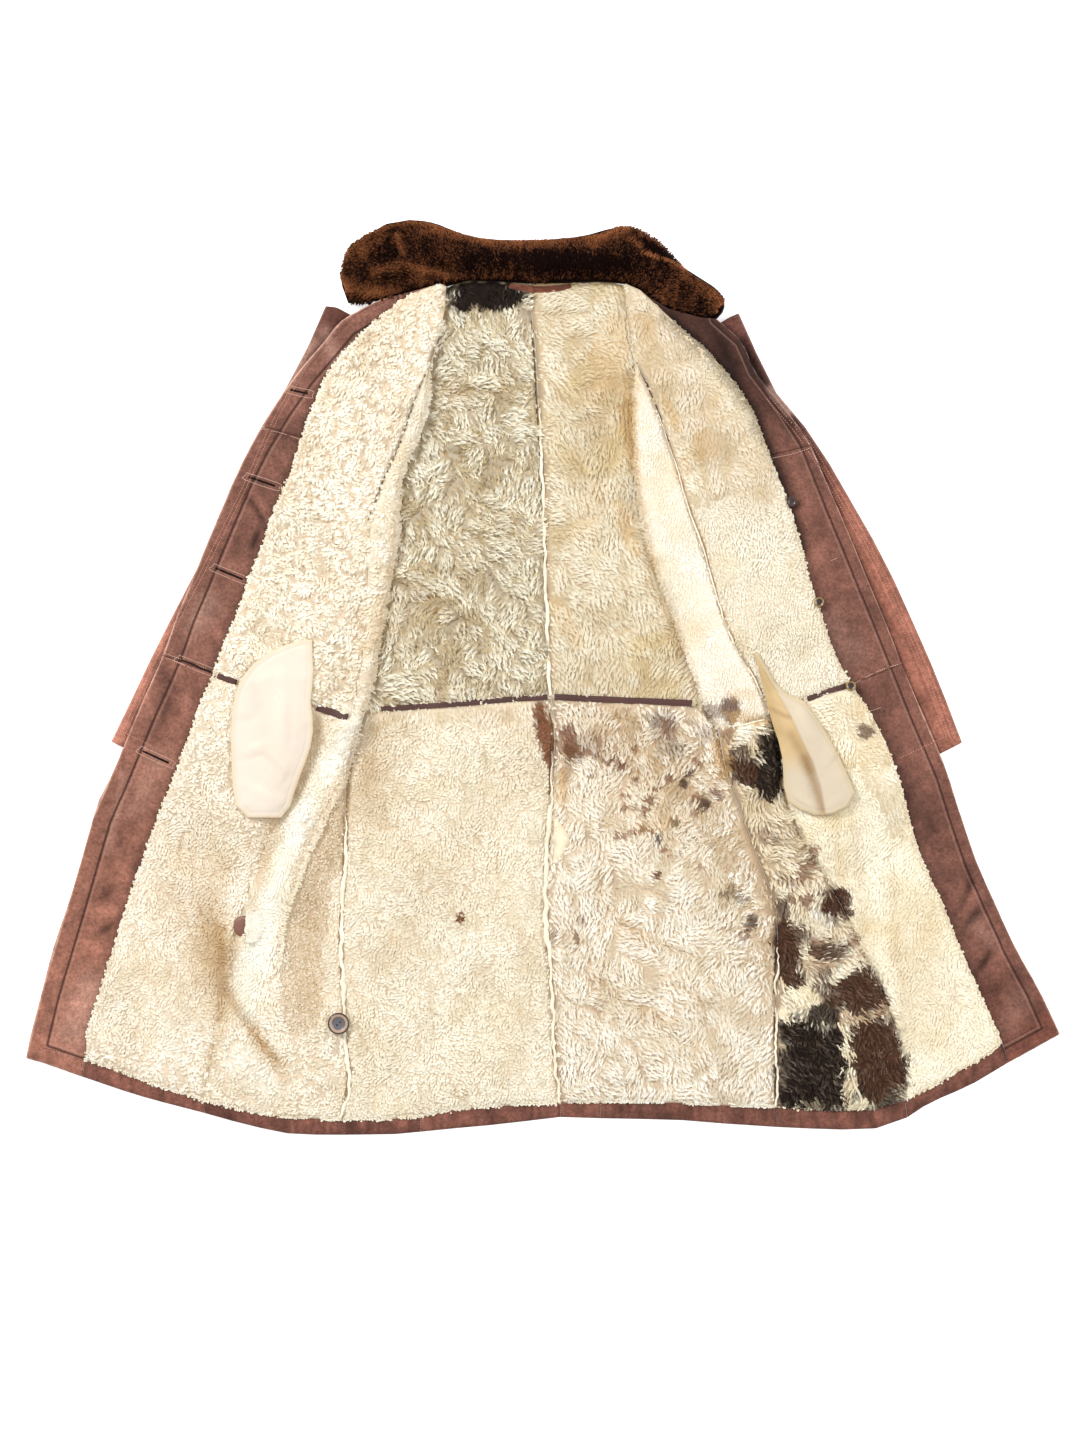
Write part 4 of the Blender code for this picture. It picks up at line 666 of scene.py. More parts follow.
# How much each panel is stained tan, in clouds.
TANNED = {
    "back_bodice_left": 0.08, "back_bodice_right": 0.52, "front_bodice_right": 0.3, "front_bodice_left": 0.12,
    "side_bodice_left": 0.35, "side_bodice_right": 0.35, "back_skirt_left": 0.16, "back_skirt_right": 0.14,
    "side_skirt_left": 0.2, "side_skirt_right": 0.08, "front_skirt_left": 0.2, "front_skirt_right": 0.3,
}
ORDER = list(PANELS)


LOWER = 2.4                       # millimetres that the ground sits below the solid's top
GRAIN = {"curly": 4.2, "plush": 5.6}      # longest edge of the ground's triangles, half a lock of these kinds
# Seams that show, and how wide the wool lies low beside each.
VALLEYS = [(CENTRE, 5), (CENTRE_LOW, 6), (SIDE_BACK_L, 4), (SIDE_BACK_R, 5), (WAIST_BACK, 5),
           (WAIST_FRONT_L, 4), (WAIST_FRONT_R, 4), (ARM_R, 4), (ARM_L[:6], 3), (SIDE_FRONT_R[1:], 3)]


def in_valley(p):
    """0 on a seam that shows, 1 away from every such seam."""
    out = np.ones(len(p))
    for line, wide in VALLEYS:
        out = np.minimum(out, ease((np.abs(off_line(p, line)[0]) - 0.35 * wide) / wide))
    return out


# Broad soft folds of the lining: start, end, depth and half width in millimetres.
WOOL_FOLDS = [
    (-30, -120, -190, -330, -2.6, 26), (-190, -90, -150, -160, -1.6, 30), (-90, -60, -20, -110, 1.6, 24),
    (-60, -330, -180, -470, -1.4, 30), (-252, 170, -210, 60, -2.2, 22), (-270, 260, -230, 330, -2.0, 24),
    (-300, 120, -250, -10, 1.6, 22), (-170, 400, -200, 330, 1.8, 20), (110, 410, 190, 330, -2.4, 20),
    (135, 345, 200, 262, 2.2, 22), (170, 240, 250, 180, -1.8, 22), (215, 130, 290, 60, 1.6, 24),
    (-420, -60, -350, -150, 2.2, 26), (-470, -200, -390, -300, -2.2, 28), (-350, -270, -420, -420, 2.0, 24),
    (-500, -390, -400, -430, -1.8, 24), (20, 300, 80, 200, -1.6, 20), (60, 120, 110, 20, 1.6, 22),
    (-110, 350, -60, 250, 1.8, 20), (-150, 180, -60, 120, -2.0, 20), (-130, 60, -60, -10, 1.8, 22),
    (70, -150, 170, -230, 1.8, 24), (40, -260, 120, -330, -2.2, 16), (60, -300, 150, -390, 1.6, 20),
    (150, -330, 240, -420, -1.6, 24), (330, -110, 400, -180, -1.8, 22), (360, -200, 430, -330, 1.8, 26),
    (420, -330, 490, -420, -1.6, 24), (-216, -50, -279, -165, 3.5, 15), (-279, -165, -310, -244, 4.0, 17),
    (-310, -244, -352, -302, 4.0, 18), (-352, -302, -348, -375, 3.0, 18), (-256, -50, -282, -136, -2.5, 12),
    (-262, -190, -284, -330, -2.5, 20), (-338, -400, -302, -446, -3.5, 10),
    (-366, -290, -360, -360, -3.0, 10), (-330, -450, -290, -480, 2.0, 18),
    (-250, -290, -290, -400, -1.8, 20),
]


def ground_relief(p, kind, seed):
    k = KINDS[kind]
    _, rank, border = cells(p, k["patch"], seed)
    rise = k["dome"] * (0.5 - border ** 2 + 0.7 * (rank - 0.5)) + 0.9 * noise(p, 24, seed + 5)
    for x0, y0, x1, y1, deep, wide in WOOL_FOLDS:
        rise += deep * near_line(p, [(x0, y0), (x1, y1)], wide)
    return rise


grounds = {}
for number, panel in enumerate(ORDER):
    kind, pale, root, _ = PANELS[panel]
    bm, upper = shell_mesh(panel, GRAIN.get(kind, 6.4), 5)
    flat = plan(upper)
    inside = ease(rim_distance(upper, flat) / 9)
    lift = -LOWER + ground_relief(flat, kind, 31 + number) * inside - 1.6 * (1 - in_valley(flat))
    for v, dz in zip(upper, lift):
        v.co.z += dz * MM
    everywhere = plan(bm.verts)
    shade = 0.86 + 0.14 * noise(everywhere, 30, 90 + number)
    depth = min(0.6, 2.0 * KINDS[kind]["depth"])
    dark = np.tile(depth * root + (1 - depth) * pale, (len(everywhere), 1)) * shade[:, None]
    # The fleece's spots and painted shade of folds, then painted shade in the seam valleys.
    dark = spotted(everywhere, dark) * (0.72 + 0.28 * in_valley(everywhere))[:, None]
    under = np.array([all(f.normal.z < -0.3 for f in v.link_faces) for v in bm.verts])
    dark[under] = (MAUVE * (1 + 0.2 * noise(everywhere, 26, 130 + number))[:, None])[under]
    for f in bm.faces:
        f.material_index = 1 if f.normal.z < -0.3 else 0
    grounds[panel] = finish_mesh(bm, panel + "_ground", [wool_ground, suede], dark)
    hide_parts(panel)
print("grounds:", {n: len(o.data.polygons) for n, o in grounds.items()})

# %% [markdown]
# ## A map of heights
# Locks, stitches and tapes lie on whatever is beneath them, and at the fronts' folds that drops by two
# centimetres. A ray shot down at every third millimetre gives a map of the highest ground and its owner.
# %% Height map
STEP = 3.0
X0, Y0 = -603.0, -540.0
NX, NY = int(1206 / STEP) + 1, int(1080 / STEP) + 1
height = np.zeros((NY, NX))
owner = np.full((NY, NX), -1)


def lay_on_map(obj, number):
    tree = BVHTree.FromObject(obj, bpy.context.evaluated_depsgraph_get())
    box = np.array(obj.bound_box) / MM
    i0, i1 = int((box[:, 0].min() - X0) / STEP), int((box[:, 0].max() - X0) / STEP) + 1
    j0, j1 = int((box[:, 1].min() - Y0) / STEP), int((box[:, 1].max() - Y0) / STEP) + 1
    down = Vector((0, 0, -1))
    for j in range(max(j0, 0), min(j1 + 1, NY)):
        for i in range(max(i0, 0), min(i1 + 1, NX)):
            hit = tree.ray_cast(Vector(((X0 + i * STEP) * MM, (Y0 + j * STEP) * MM, 0.2)), down)[0]
            if hit is not None and hit.z / MM > height[j, i]:
                height[j, i], owner[j, i] = hit.z / MM, number


def top(p):
    """Height of the ground under each point, in millimetres."""
    q = np.column_stack([(p[:, 0] - X0) / STEP, (p[:, 1] - Y0) / STEP])
    i = np.clip(np.floor(q).astype(int), 0, [NX - 2, NY - 2])
    f = np.clip(q - i, 0, 1)
    a, b = height[i[:, 1], i[:, 0]], height[i[:, 1], i[:, 0] + 1]
    c, d = height[i[:, 1] + 1, i[:, 0]], height[i[:, 1] + 1, i[:, 0] + 1]
    return (a * (1 - f[:, 0]) + b * f[:, 0]) * (1 - f[:, 1]) + (c * (1 - f[:, 0]) + d * f[:, 0]) * f[:, 1]


def belongs(p):
    i = np.clip(np.round((p[:, 0] - X0) / STEP).astype(int), 0, NX - 1)
    j = np.clip(np.round((p[:, 1] - Y0) / STEP).astype(int), 0, NY - 1)
    return owner[j, i]


for number, panel in enumerate(ORDER):
    lay_on_map(grounds[panel], number)
print("map filled:", int((owner >= 0).sum()), "of", owner.size)

# %% [markdown]
# ## Suede pieces
# The facings, the hem band and the sleeves are suede. Their creases are listed: a bent line, depth and half
# width in millimetres, deeper being negative. A front edge is rolled over and topstitched, 21 mm in on the
# left and 13.5 mm on the right, so a groove runs there, which the solid already has.
# %% Creases of the suede
CREASES = [
    ([(-342, 211), (-328, 193), (-318, 171)], -2.6, 3.6), ([(-331, 207), (-316, 182)], 1.6, 4),
    ([(-320, 183), (-330, 158), (-336, 139)], -2.2, 4), ([(-322, 168), (-314, 150)], 1.5, 4),
    ([(-347, 172), (-349, 144)], -1.5, 6), ([(-296, 292), (-290, 270)], -1.2, 10),
    ([(-275, 330), (-262, 300)], -0.9, 8), ([(-356, 128), (-344, 96)], 0.9, 7),
    ([(-392, 100), (-372, 62)], -1.2, 7), ([(-386, 66), (-366, 44)], 1.0, 6),
    ([(-420, -14), (-434, -43), (-441, -66)], -2.0, 6), ([(-404, -20), (-414, -52)], 1.2, 6),
    ([(-396, -8), (-402, -34)], -1.3, 5), ([(-456, -118), (-466, -150)], 1.2, 14),
    ([(-478, -178), (-486, -202)], -1.6, 7), ([(-470, -212), (-460, -232)], -1.6, 5),
    ([(-492, -232), (-508, -262)], -1.8, 7), ([(-488, -279), (-513, -298)], -2.1, 5),
    ([(-521, -267), (-492, -270)], 1.5, 6), ([(-532, -302), (-500, -318)], 1.5, 6),
    ([(-502, -330), (-528, -350)], -1.3, 7), ([(-510, -376), (-546, -384)], 1.1, 9),
    ([(-560, -404), (-530, -414)], -1.0, 6), ([(-566, -330), (-556, -300)], -0.9, 6),
    ([(230, 385), (240, 363), (246, 350)], -2.8, 5), ([(216, 372), (230, 345), (243, 325)], 1.8, 6),
    ([(196, 398), (214, 366), (236, 330)], -2.4, 7), ([(180, 396), (204, 356)], 1.8, 7),
    ([(262, 262), (276, 226), (292, 196)], -1.6, 7), ([(286, 250), (306, 200)], 0.9, 8),
    ([(302, 170), (326, 110)], 1.0, 9), ([(350, 60), (366, 16)], -1.0, 8),
    ([(398, -26), (420, -84)], 1.1, 9), ([(410, -112), (430, -160)], -1.2, 9),
    ([(437, -150), (452, -190)], -1.6, 8), ([(485, -216), (492, -236), (485, -256), (474, -274)], -2.8, 3.4),
    ([(478, -226), (484, -250)], 1.3, 4), ([(488, -262), (500, -244)], 1.6, 6),
    ([(512, -256), (494, -276), (482, -290)], -2.4, 4.5), ([(500, -288), (520, -270)], 1.7, 6),
    ([(520, -308), (508, -326), (496, -342)], -2.6, 4), ([(516, -330), (534, -312)], 1.7, 6),
    ([(508, -352), (530, -366)], -1.3, 7), ([(540, -362), (562, -392)], -1.0, 7),
    ([(530, -330), (552, -352)], -0.9, 6), ([(440, 40), (462, -20)], -1.3, 7),
    ([(430, 90), (448, 24)], 1.2, 7), ([(-470, 10), (-440, -60)], 1.4, 8),
    ([(-450, 40), (-420, -40)], -1.2, 8), ([(410, 60), (434, 0)], -1.2, 6),
]


def creases(p):
    h = np.zeros(len(p))
    for line, deep, wide in CREASES:
        lo, hi = np.min(line, axis=0) - 3 * wide, np.max(line, axis=0) + 3 * wide
        near = ((p > lo) & (p < hi)).all(axis=1)
        if near.any():
            d, t = off_line(p[near], line)
            h[near] += deep * np.exp(-(d / wide) ** 2) * np.sin(np.pi * np.clip(t, 0.12, 0.88))
    return h


# The stitched groove is 20.6 mm from the front edge on the left. On the right it is closer and uneven: CLOSER
# gives levels and the distance at each.
LEFT_RIM = EDGE_L + HEM[1:4]
RIGHT_RIM = EDGE_R + [HEM[-2], HEM[-3]]
CLOSER = ([-410, -300, -60, 190, 270, 342], [16, 13.4, 13.6, 13, 9, 5])
# Hollows of the facings that stay in the shade: a line, half width and how much.
HOLLOWS = [
    ([(146, 412), (178, 384), (212, 348), (240, 308), (256, 268), (272, 226), (286, 186), (298, 146)], 6,
     0.72),
    ([(232, 388), (243, 358), (262, 322), (284, 290)], 7, 0.45), ([(190, 400), (222, 352)], 12, 0.30),
    ([(246, 350), (268, 318), (290, 282)], 9, 0.30), ([(-434, -10), (-446, -60)], 10, 0.22),
    ([(-500, -190), (-516, -250)], 14, 0.15), ([(-300, 285), (-283, 262)], 12, 0.15),
    ([(444, -140), (458, -190)], 14, 0.20), ([(374, -14), (392, -50)], 16, 0.16),
]
# And painted highlight where the light falls on the facings, as on the right facing's pale shoulder corner.
LIT = [
    ([(-265, 382), (-292, 340)], 8, 0.30), ([(-250, 395), (-240, 370)], 8, 0.25),
    ([(-385, 85), (-398, 60)], 14, 0.20), ([(-440, -95), (-470, -150)], 14, 0.12),
    ([(-520, -360), (-540, -410)], 22, 0.28), ([(-480, -110), (-500, -200)], 5, 0.15),
    ([(262, 330), (282, 306)], 6, 0.40), ([(330, 60), (356, 30)], 18, 0.10),
    ([(548, -372), (536, -400)], 16, 0.12), ([(500, -285), (514, -300)], 10, 0.12),
]


def suede_tint(p, base, seed):
    """Brushed clouds, then painted shade and highlight: creases, beside the wool, in hollows and where lit.
    """
    cloud = 0.11 * noise(p, 55, seed) + 0.15 * noise(p, 21, seed + 1) + 0.16 * noise(p, 8, seed + 2)
    # Brushed clouds, and painted shade in crease hollows with painted highlight on crease crests.
    out = base * np.clip(1 + cloud + 0.24 * np.clip(creases(p), -2.4, 2.2), 0.25, 2)[:, None]
    # Painted shade beside the wool's edge and in the facings' hollows.
    for line, half, strong in [(FACING_L, 7, 0.30), (FACING_R, 9, 0.38)] + HOLLOWS:
        out = out * (1 - strong * near_line(p, line, half))[:, None]
    # Painted highlight where the light falls, in the rubbed suede's pale colour.
    for line, half, strong in LIT:
        out = blend(out, RUBBED_AND_HIGHLIGHT, (strong * near_line(p, line, half))[:, None])
    return out


def from_rim(p):
    """Distance from the front edge, stretched so that the groove is at the same value all along it."""
    left = np.abs(off_line(p, LEFT_RIM)[0])
    right = np.abs(off_line(p, RIGHT_RIM)[0])
    grooved = np.interp(p[:, 1], *CLOSER)
    right = np.where(right < grooved, right * (GROOVE_AT - RIM_AT) / grooved,
                     right + GROOVE_AT - RIM_AT - grooved)
    return RIM_AT + np.minimum(left, right)


# Buttonholes: where each slit starts and ends, its half width and depth in millimetres.
SLIT_HALF, SLIT_DEEP = 1.2, 1.9
HOLES = [((-289.8, 329.5), (-269.1, 324.9)), ((-337, 229.4), (-307, 219.1)),
         ((-374.9, 124.8), (-343.9, 112.1)),
         ((-415.2, 20.1), (-380.7, 6.3)), ((-458.9, -84.5), (-429, -98.3))]


def slit(obj):
    """Sink the buttonholes of this piece: four straight cuts each, then the strip between them goes down."""
    bm = bmesh.new()
    bm.from_mesh(obj.data)
    paint = bm.verts.layers.float_color["tint"]
    for a, b in HOLES[:3] + HOLES[4:]:      # the fourth lies in a seam and is a band, made further on
        a, b = np.array(a), np.array(b)
        mid, half = (a + b) / 2, np.linalg.norm(b - a) / 2
        w = (b - a) / (2 * half)
        side = np.array([-w[1], w[0]])
        part = [f for f in bm.faces if f.normal.z > 0.25
                and np.hypot(*(np.array(f.calc_center_median()[:2]) / MM - mid)) < half + 8]
        if len(part) < 20:
            continue
        for way, far in ((w, half), (-w, half), (side, SLIT_HALF), (-side, SLIT_HALF)):
            geom = part + list({e for f in part for e in f.edges}) + list({v for f in part for v in f.verts})
            spot = Vector((*((mid + way * far) * MM), 0))
            made = bmesh.ops.bisect_plane(bm, geom=geom, dist=1e-7, plane_co=spot, plane_no=(*way, 0))
            part = [f for f in made["geom"] if isinstance(f, bmesh.types.BMFace)]
        sunk = []
        for f in part:
            off = np.array(f.calc_center_median()[:2]) / MM - mid
            if abs(off @ w) < half and abs(off @ side) < SLIT_HALF:
                sunk.append(f)
        made = bmesh.ops.extrude_face_region(bm, geom=sunk)["geom"]
        bmesh.ops.delete(bm, geom=sunk, context="FACES")
        for v in made:
            if isinstance(v, bmesh.types.BMVert):
                v.co.z -= SLIT_DEEP * MM
                # Painted shade: the slit's floor is near-black, as the open hole would be in shade.
                v[paint] = (0.010, 0.006, 0.005, 1)
    bm.normal_update()
    bm.to_mesh(obj.data)
    bm.free()


def suede_piece(node, base, seed, longest, smoothing=2, wrinkle=0.35):
    bm, upper = shell_mesh(node, longest, smoothing)
    flat = plan(upper)
    inside = ease(rim_distance(upper, flat) / 6)
    lift = (creases(flat) + wrinkle * noise(flat, 14, seed) + wrinkle * noise(flat, 31, seed + 3)) * inside
    for v, dz in zip(upper, lift):
        v.co.z += dz * MM
    everywhere = plan(bm.verts)
    colour = base(everywhere) if callable(base) else np.tile(base, (len(everywhere), 1))
    made = finish_mesh(bm, node + "_suede", [suede], suede_tint(everywhere, colour, seed))
    if node.startswith("facing"):
        edge = made.data.attributes.new("edge", "FLOAT", "POINT")
        edge.data.foreach_set("value", from_rim(everywhere))
    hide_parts(node)
    return made


def left_suede(p):
    """The left facing: browner at the chest, redder and paler towards the hem."""
    down = ease((150 - p[:, 1]) / 560)[:, None]
    return blend(linear("#775145"), linear("#8f6050"), down)


def right_suede(p):
    """The right facing: warmer lower down, and darker at the top, which is painted shade below the collar."""
    top_end = ease((p[:, 1] - 225) / 130)[:, None]
    down = ease((-300 - p[:, 1]) / 110)[:, None]
    return blend(blend(PLUM, linear("#6d4337"), down), linear("#432a23"), top_end)


def sleeve_suede(p):
    """Terracotta on the arm, darker at the shoulder cap, with painted shadow beside the front's edge."""
    cap = ease((p[:, 1] - 130) / 170)[:, None]
    right = (p[:, :1] > 0)
    arm = np.where(right, linear("#935f4f"), TERRACOTTA)
    # Painted shadow that the front's edge casts on the sleeve.
    d = np.minimum(np.abs(off_line(p, EDGE_L)[0]), np.abs(off_line(p, EDGE_R)[0]))
    shade = 1 - 0.45 * np.exp(-(d / 6) ** 2)[:, None]
    # Painted light and shade across the right sleeve's ribs.
    across = off_line(p, [(268, 328), (353, 205), (424, 67), (478, -66)])[0]
    ribs = 1 + 0.12 * np.sin(across * 0.9)[:, None] * right
    return blend(arm, linear("#5d3a31"), cap) * shade * ribs


def band_suede(tone):
    """The hem band: dark, puckered across its width where it is eased to the hem's curve."""
    def colour(p):
        # The puckers' light and shade is painted, as streaks across the band.
        pucker = noise(np.column_stack([p[:, 0], 0.2 * p[:, 1]]), 4.5, 71) + 0.6 * noise(p, 11, 72)
        return linear("#6e473c") * tone * np.clip(1 + 0.30 * pucker, 0.5, 1.7)[:, None]
    return colour


suedes = {}
for number, (node, base) in enumerate([
        ("facing_top_left", left_suede), ("facing_middle_left", left_suede),
        ("facing_bottom_left", left_suede),
        ("facing_top_right", right_suede), ("facing_middle_right", right_suede),
        ("facing_bottom_right", right_suede), ("sleeve_left", sleeve_suede), ("sleeve_right", sleeve_suede)]):
    suedes[node] = suede_piece(node, base, 400 + 10 * number, 3.0 if base is sleeve_suede else 4.2)
for k in range(1, 10):
    tone = [1.1, 1.0, 0.93, 1.0, 1.04, 0.96, 0.9, 0.95, 0.9][k - 1]
    suedes[f"hem_band_{k}"] = suede_piece(f"hem_band_{k}", band_suede(tone), 500 + 10 * k, 3.4, 1, 0.6)
for number, obj in enumerate(suedes.values()):
    lay_on_map(obj, 50 + number)
for node in ("facing_top_left", "facing_middle_left", "facing_bottom_left"):
    slit(suedes[node])
print("suede pieces:", len(suedes), "faces:", sum(len(o.data.polygons) for o in suedes.values()))

# %% [markdown]
# ## Locks of wool
# A lock is a small bundle of fibres that tapers to a tip. Each fibre bundle here is a narrow ribbon of a few
# faces that follows its own curved path over the ground. Blender's hair curves could grow them, but a mesh
# keeps the same form everywhere it is opened, so tens of thousands of ribbons are built as arrays and joined.
# Neighbouring ribbons are tilted like the slats of an arch, so that several of them read as one round lock.
# %% Ribbons from arrays
def ribbons(name, mat, p, heading, long, wide, blunt, steps, bend, wave, wave_long, phase, base_z, stand,
            roll, root, tip, fall=1.1):
    """Joined tapered ribbons. p: roots (n, 2); most others are one value a ribbon; colours are (n, 3)."""
    n = len(p)
    spot, z = p.copy(), None
    left, right = [], []
    shape = np.interp(np.arange(steps) / max(steps - 1, 1), [0, 0.4, 1.0], [0.75, 1.0, 0.35 + 0.65 * blunt])
    rise = np.interp(np.arange(steps + 1) / steps, [0, 0.4, 0.8, 1.0], [-0.4, 0.6, 1.0, 0.55])
    for k in range(steps + 1):
        t = k / steps
        ang = heading + bend * t + wave * np.sin(phase + 2 * np.pi * long * t / wave_long)
        way = np.column_stack([np.cos(ang), np.sin(ang)])
        want = top(spot) + base_z + stand * rise[k]
        z = want if z is None else np.maximum(want, z - fall * long / steps)
        across = np.column_stack([-way[:, 1], way[:, 0]])
        if k < steps:
            half = 0.5 * wide * shape[k]
            tilt = np.sin(roll) * half
            left.append(np.column_stack([spot + across * half[:, None], z + tilt]))
            right.append(np.column_stack([spot - across * half[:, None], z - tilt]))
            spot = spot + way * (long / steps)[:, None]
        else:
            end = np.column_stack([spot, z])
    size = 2 * steps + 1
    verts = np.empty((n, size, 3))
    for k in range(steps):
        verts[:, 2 * k], verts[:, 2 * k + 1] = left[k], right[k]
    verts[:, -1] = end
    first = (np.arange(n) * size)[:, None]
    quads = np.concatenate([first + [[2 * k + 1, 2 * k + 3, 2 * k + 2, 2 * k]] for k in range(steps - 1)])
    tips = first + [[size - 2, size - 1, size - 3]]
    share = np.array([(k / steps) ** 0.7 for k in range(steps) for _ in (0, 1)] + [1.0])[None, :, None]
    tint = root[:, None] * (1 - share) + tip[:, None] * share
    mesh = bpy.data.meshes.new(name)
    mesh.vertices.add(n * size)
    mesh.vertices.foreach_set("co", (verts * MM).ravel())
    mesh.loops.add(quads.size + tips.size)
    mesh.loops.foreach_set("vertex_index", np.concatenate([quads.ravel(), tips.ravel()]).astype(np.int32))
    mesh.polygons.add(len(quads) + len(tips))
    starts = np.concatenate([np.arange(len(quads)) * 4, quads.size + np.arange(len(tips)) * 3])
    mesh.polygons.foreach_set("loop_start", starts.astype(np.int32))
    mesh.polygons.foreach_set("use_smooth", np.ones(len(starts), bool))
    mesh.update(calc_edges=True)
    paint = mesh.color_attributes.new("tint", "FLOAT_COLOR", "POINT")
    paint.data.foreach_set("color", np.concatenate([tint, np.ones((n, size, 1))], axis=2).ravel())
    mesh.materials.append(mat)
    return placed(name, mesh), n * (2 * steps - 1)


def combed(p, flow):
    """Heading at each point, blended from the listed directions."""
    pull = np.zeros((len(p), 2))
    for x, y, degrees in flow:
        w = 1 / ((p[:, 0] - x) ** 2 + (p[:, 1] - y) ** 2 + 500) ** 1.5
        pull += w[:, None] * [math.cos(math.radians(degrees)), math.sin(math.radians(degrees))]
    return np.arctan2(pull[:, 1], pull[:, 0])


# %% [markdown]
# Where wool ends at a cut edge or turns over a fold, its locks stand out past the line, so each such line
# gets a fringe of its own: the line, which side it leans to (+1 is left of the line's run), and its length.
# Fringes that hang over a waist tape are as long as OVER_TAPE, and more uneven than the others.
# %% Fringes
OVER_TAPE = 5.2
FRINGES = {
    "front_bodice_left": [(FACING_L[:13], -1, "curly", 4.2), (WAIST_FRONT_L[:3], -1, "curly", OVER_TAPE)],
    "front_skirt_left": [(FACING_L[12:], -1, "curly", 4.2), (WOOL_HEM[:4], -1, "curly", 4.0)],
    "side_bodice_left": [(FOLD_L[1:], 1, "curly", 5.5)],
    "side_bodice_right": [(FOLD_R[4:], -1, "combed", 5.0)],
    "front_bodice_right": [(FACING_R[:13], 1, "combed", 3.0), (FOLD_R[:5], -1, "combed", 5.0),
        (WAIST_FRONT_R[2:], -1, "combed", OVER_TAPE)],
    "front_skirt_right": [(FACING_R[12:], 1, "combed", 3.0), (WOOL_HEM[18:], -1, "combed", 3.0)],
    "side_skirt_left": [(WOOL_HEM[3:7], -1, "curly", 4.2), ([(-210, -65), (-223, -101), (-234, -126),
        (-267, -194), (-286, -244), (-295, -266), (-302, -302), (-304, -331)], 1, "shaggy", 10.0)],
    "back_skirt_left": [(WOOL_HEM[6:12], -1, "curly", 3.6)],
    "back_skirt_right": [(WOOL_HEM[11:16], -1, "combed", 3.6)],
    "back_bodice_left": [(WAIST_BACK[:5], -1, "wavy", OVER_TAPE)],
    "back_bodice_right": [(WAIST_BACK[4:8], -1, "combed", 4.0)],
}
# Belts of other wool inside a panel: kind, a line and half width.
BELTS = {
    "front_bodice_right": [("combed", [(115, 430), (140, 340), (190, 270), (215, 220)], 46), ("velvet",
        [(215, 170), (270, 60), (300, 10)], 40)],
    "side_bodice_left": [("curly", [(-172, 225), (-186, 150), (-190, 70), (-203, 0), (-210, -40)], 30)],
    "front_skirt_right": [("combed", [(330, -40), (400, -80), (430, -150)], 42)],
    "front_skirt_left": [("curly", [(-395, -30), (-440, -110)], 42), ("curly", [(-520, -430), (-400, -480)],
        26), ("curly", [(-350, -60), (-340, -150)], 30)],
    "side_skirt_left": [("curly", [(-214, -50), (-240, -110), (-268, -165)], 20), ("soft", [(-276, -180),
        (-304, -240), (-326, -310), (-344, -370)], 18), ("crackled", [(-246, -150), (-262, -220),
        (-272, -290), (-280, -380)], 26), ("curly", [(-380, -440), (-300, -480), (-260, -440)], 34)],
    "back_skirt_left": [("combed", [(-190, -45), (-100, -40), (-10, -40)], 14)],
    "back_skirt_right": [("wavy", [(90, -70), (150, -90), (200, -120), (240, -230), (250, -300)], 34)],
}


def in_rows(p, k, flow, seed):
    """Move the roots into rows that cross the nap, and say how each ribbon lies there."""
    squeeze = np.array([k["squeeze"], 1.0])
    off, rank, _ = cells(p * squeeze, k["patch"], seed)
    off = off / squeeze
    seat = p - off
    nap = combed(seat, flow) + k["turn"] * noise(seat, 60, seed + 9) + k["spread"] * (2 * rank - 1)
    way = np.column_stack([np.cos(nap), np.sin(nap)])
    q = (off * way).sum(1) / k["row"] + 7 * rank + k["warp"] * noise(p, 11, seed + 10)
    p = p - way * ((q - np.round(q)) * k["row"] * 0.8)[:, None]
    _, _, border = cells(p * squeeze, k["patch"], seed)
    column = (off[:, 1] * way[:, 0] - off[:, 0] * way[:, 1]) / k["lock"] + 0.37 * np.round(q) + 3 * rank
    u = 2 * (column - np.floor(column)) - 1
    nap = nap + 0.35 * noise(p, 9, seed + 11) - 0.25 * u
    return p, nap, rank, border, u, seat


def room(p):
    """How far each root is from the lining's nearest cut edge."""
    return np.min([np.abs(off_line(p, line)[0]) for line in (FACING_L, FACING_R, WOOL_HEM)], axis=0)


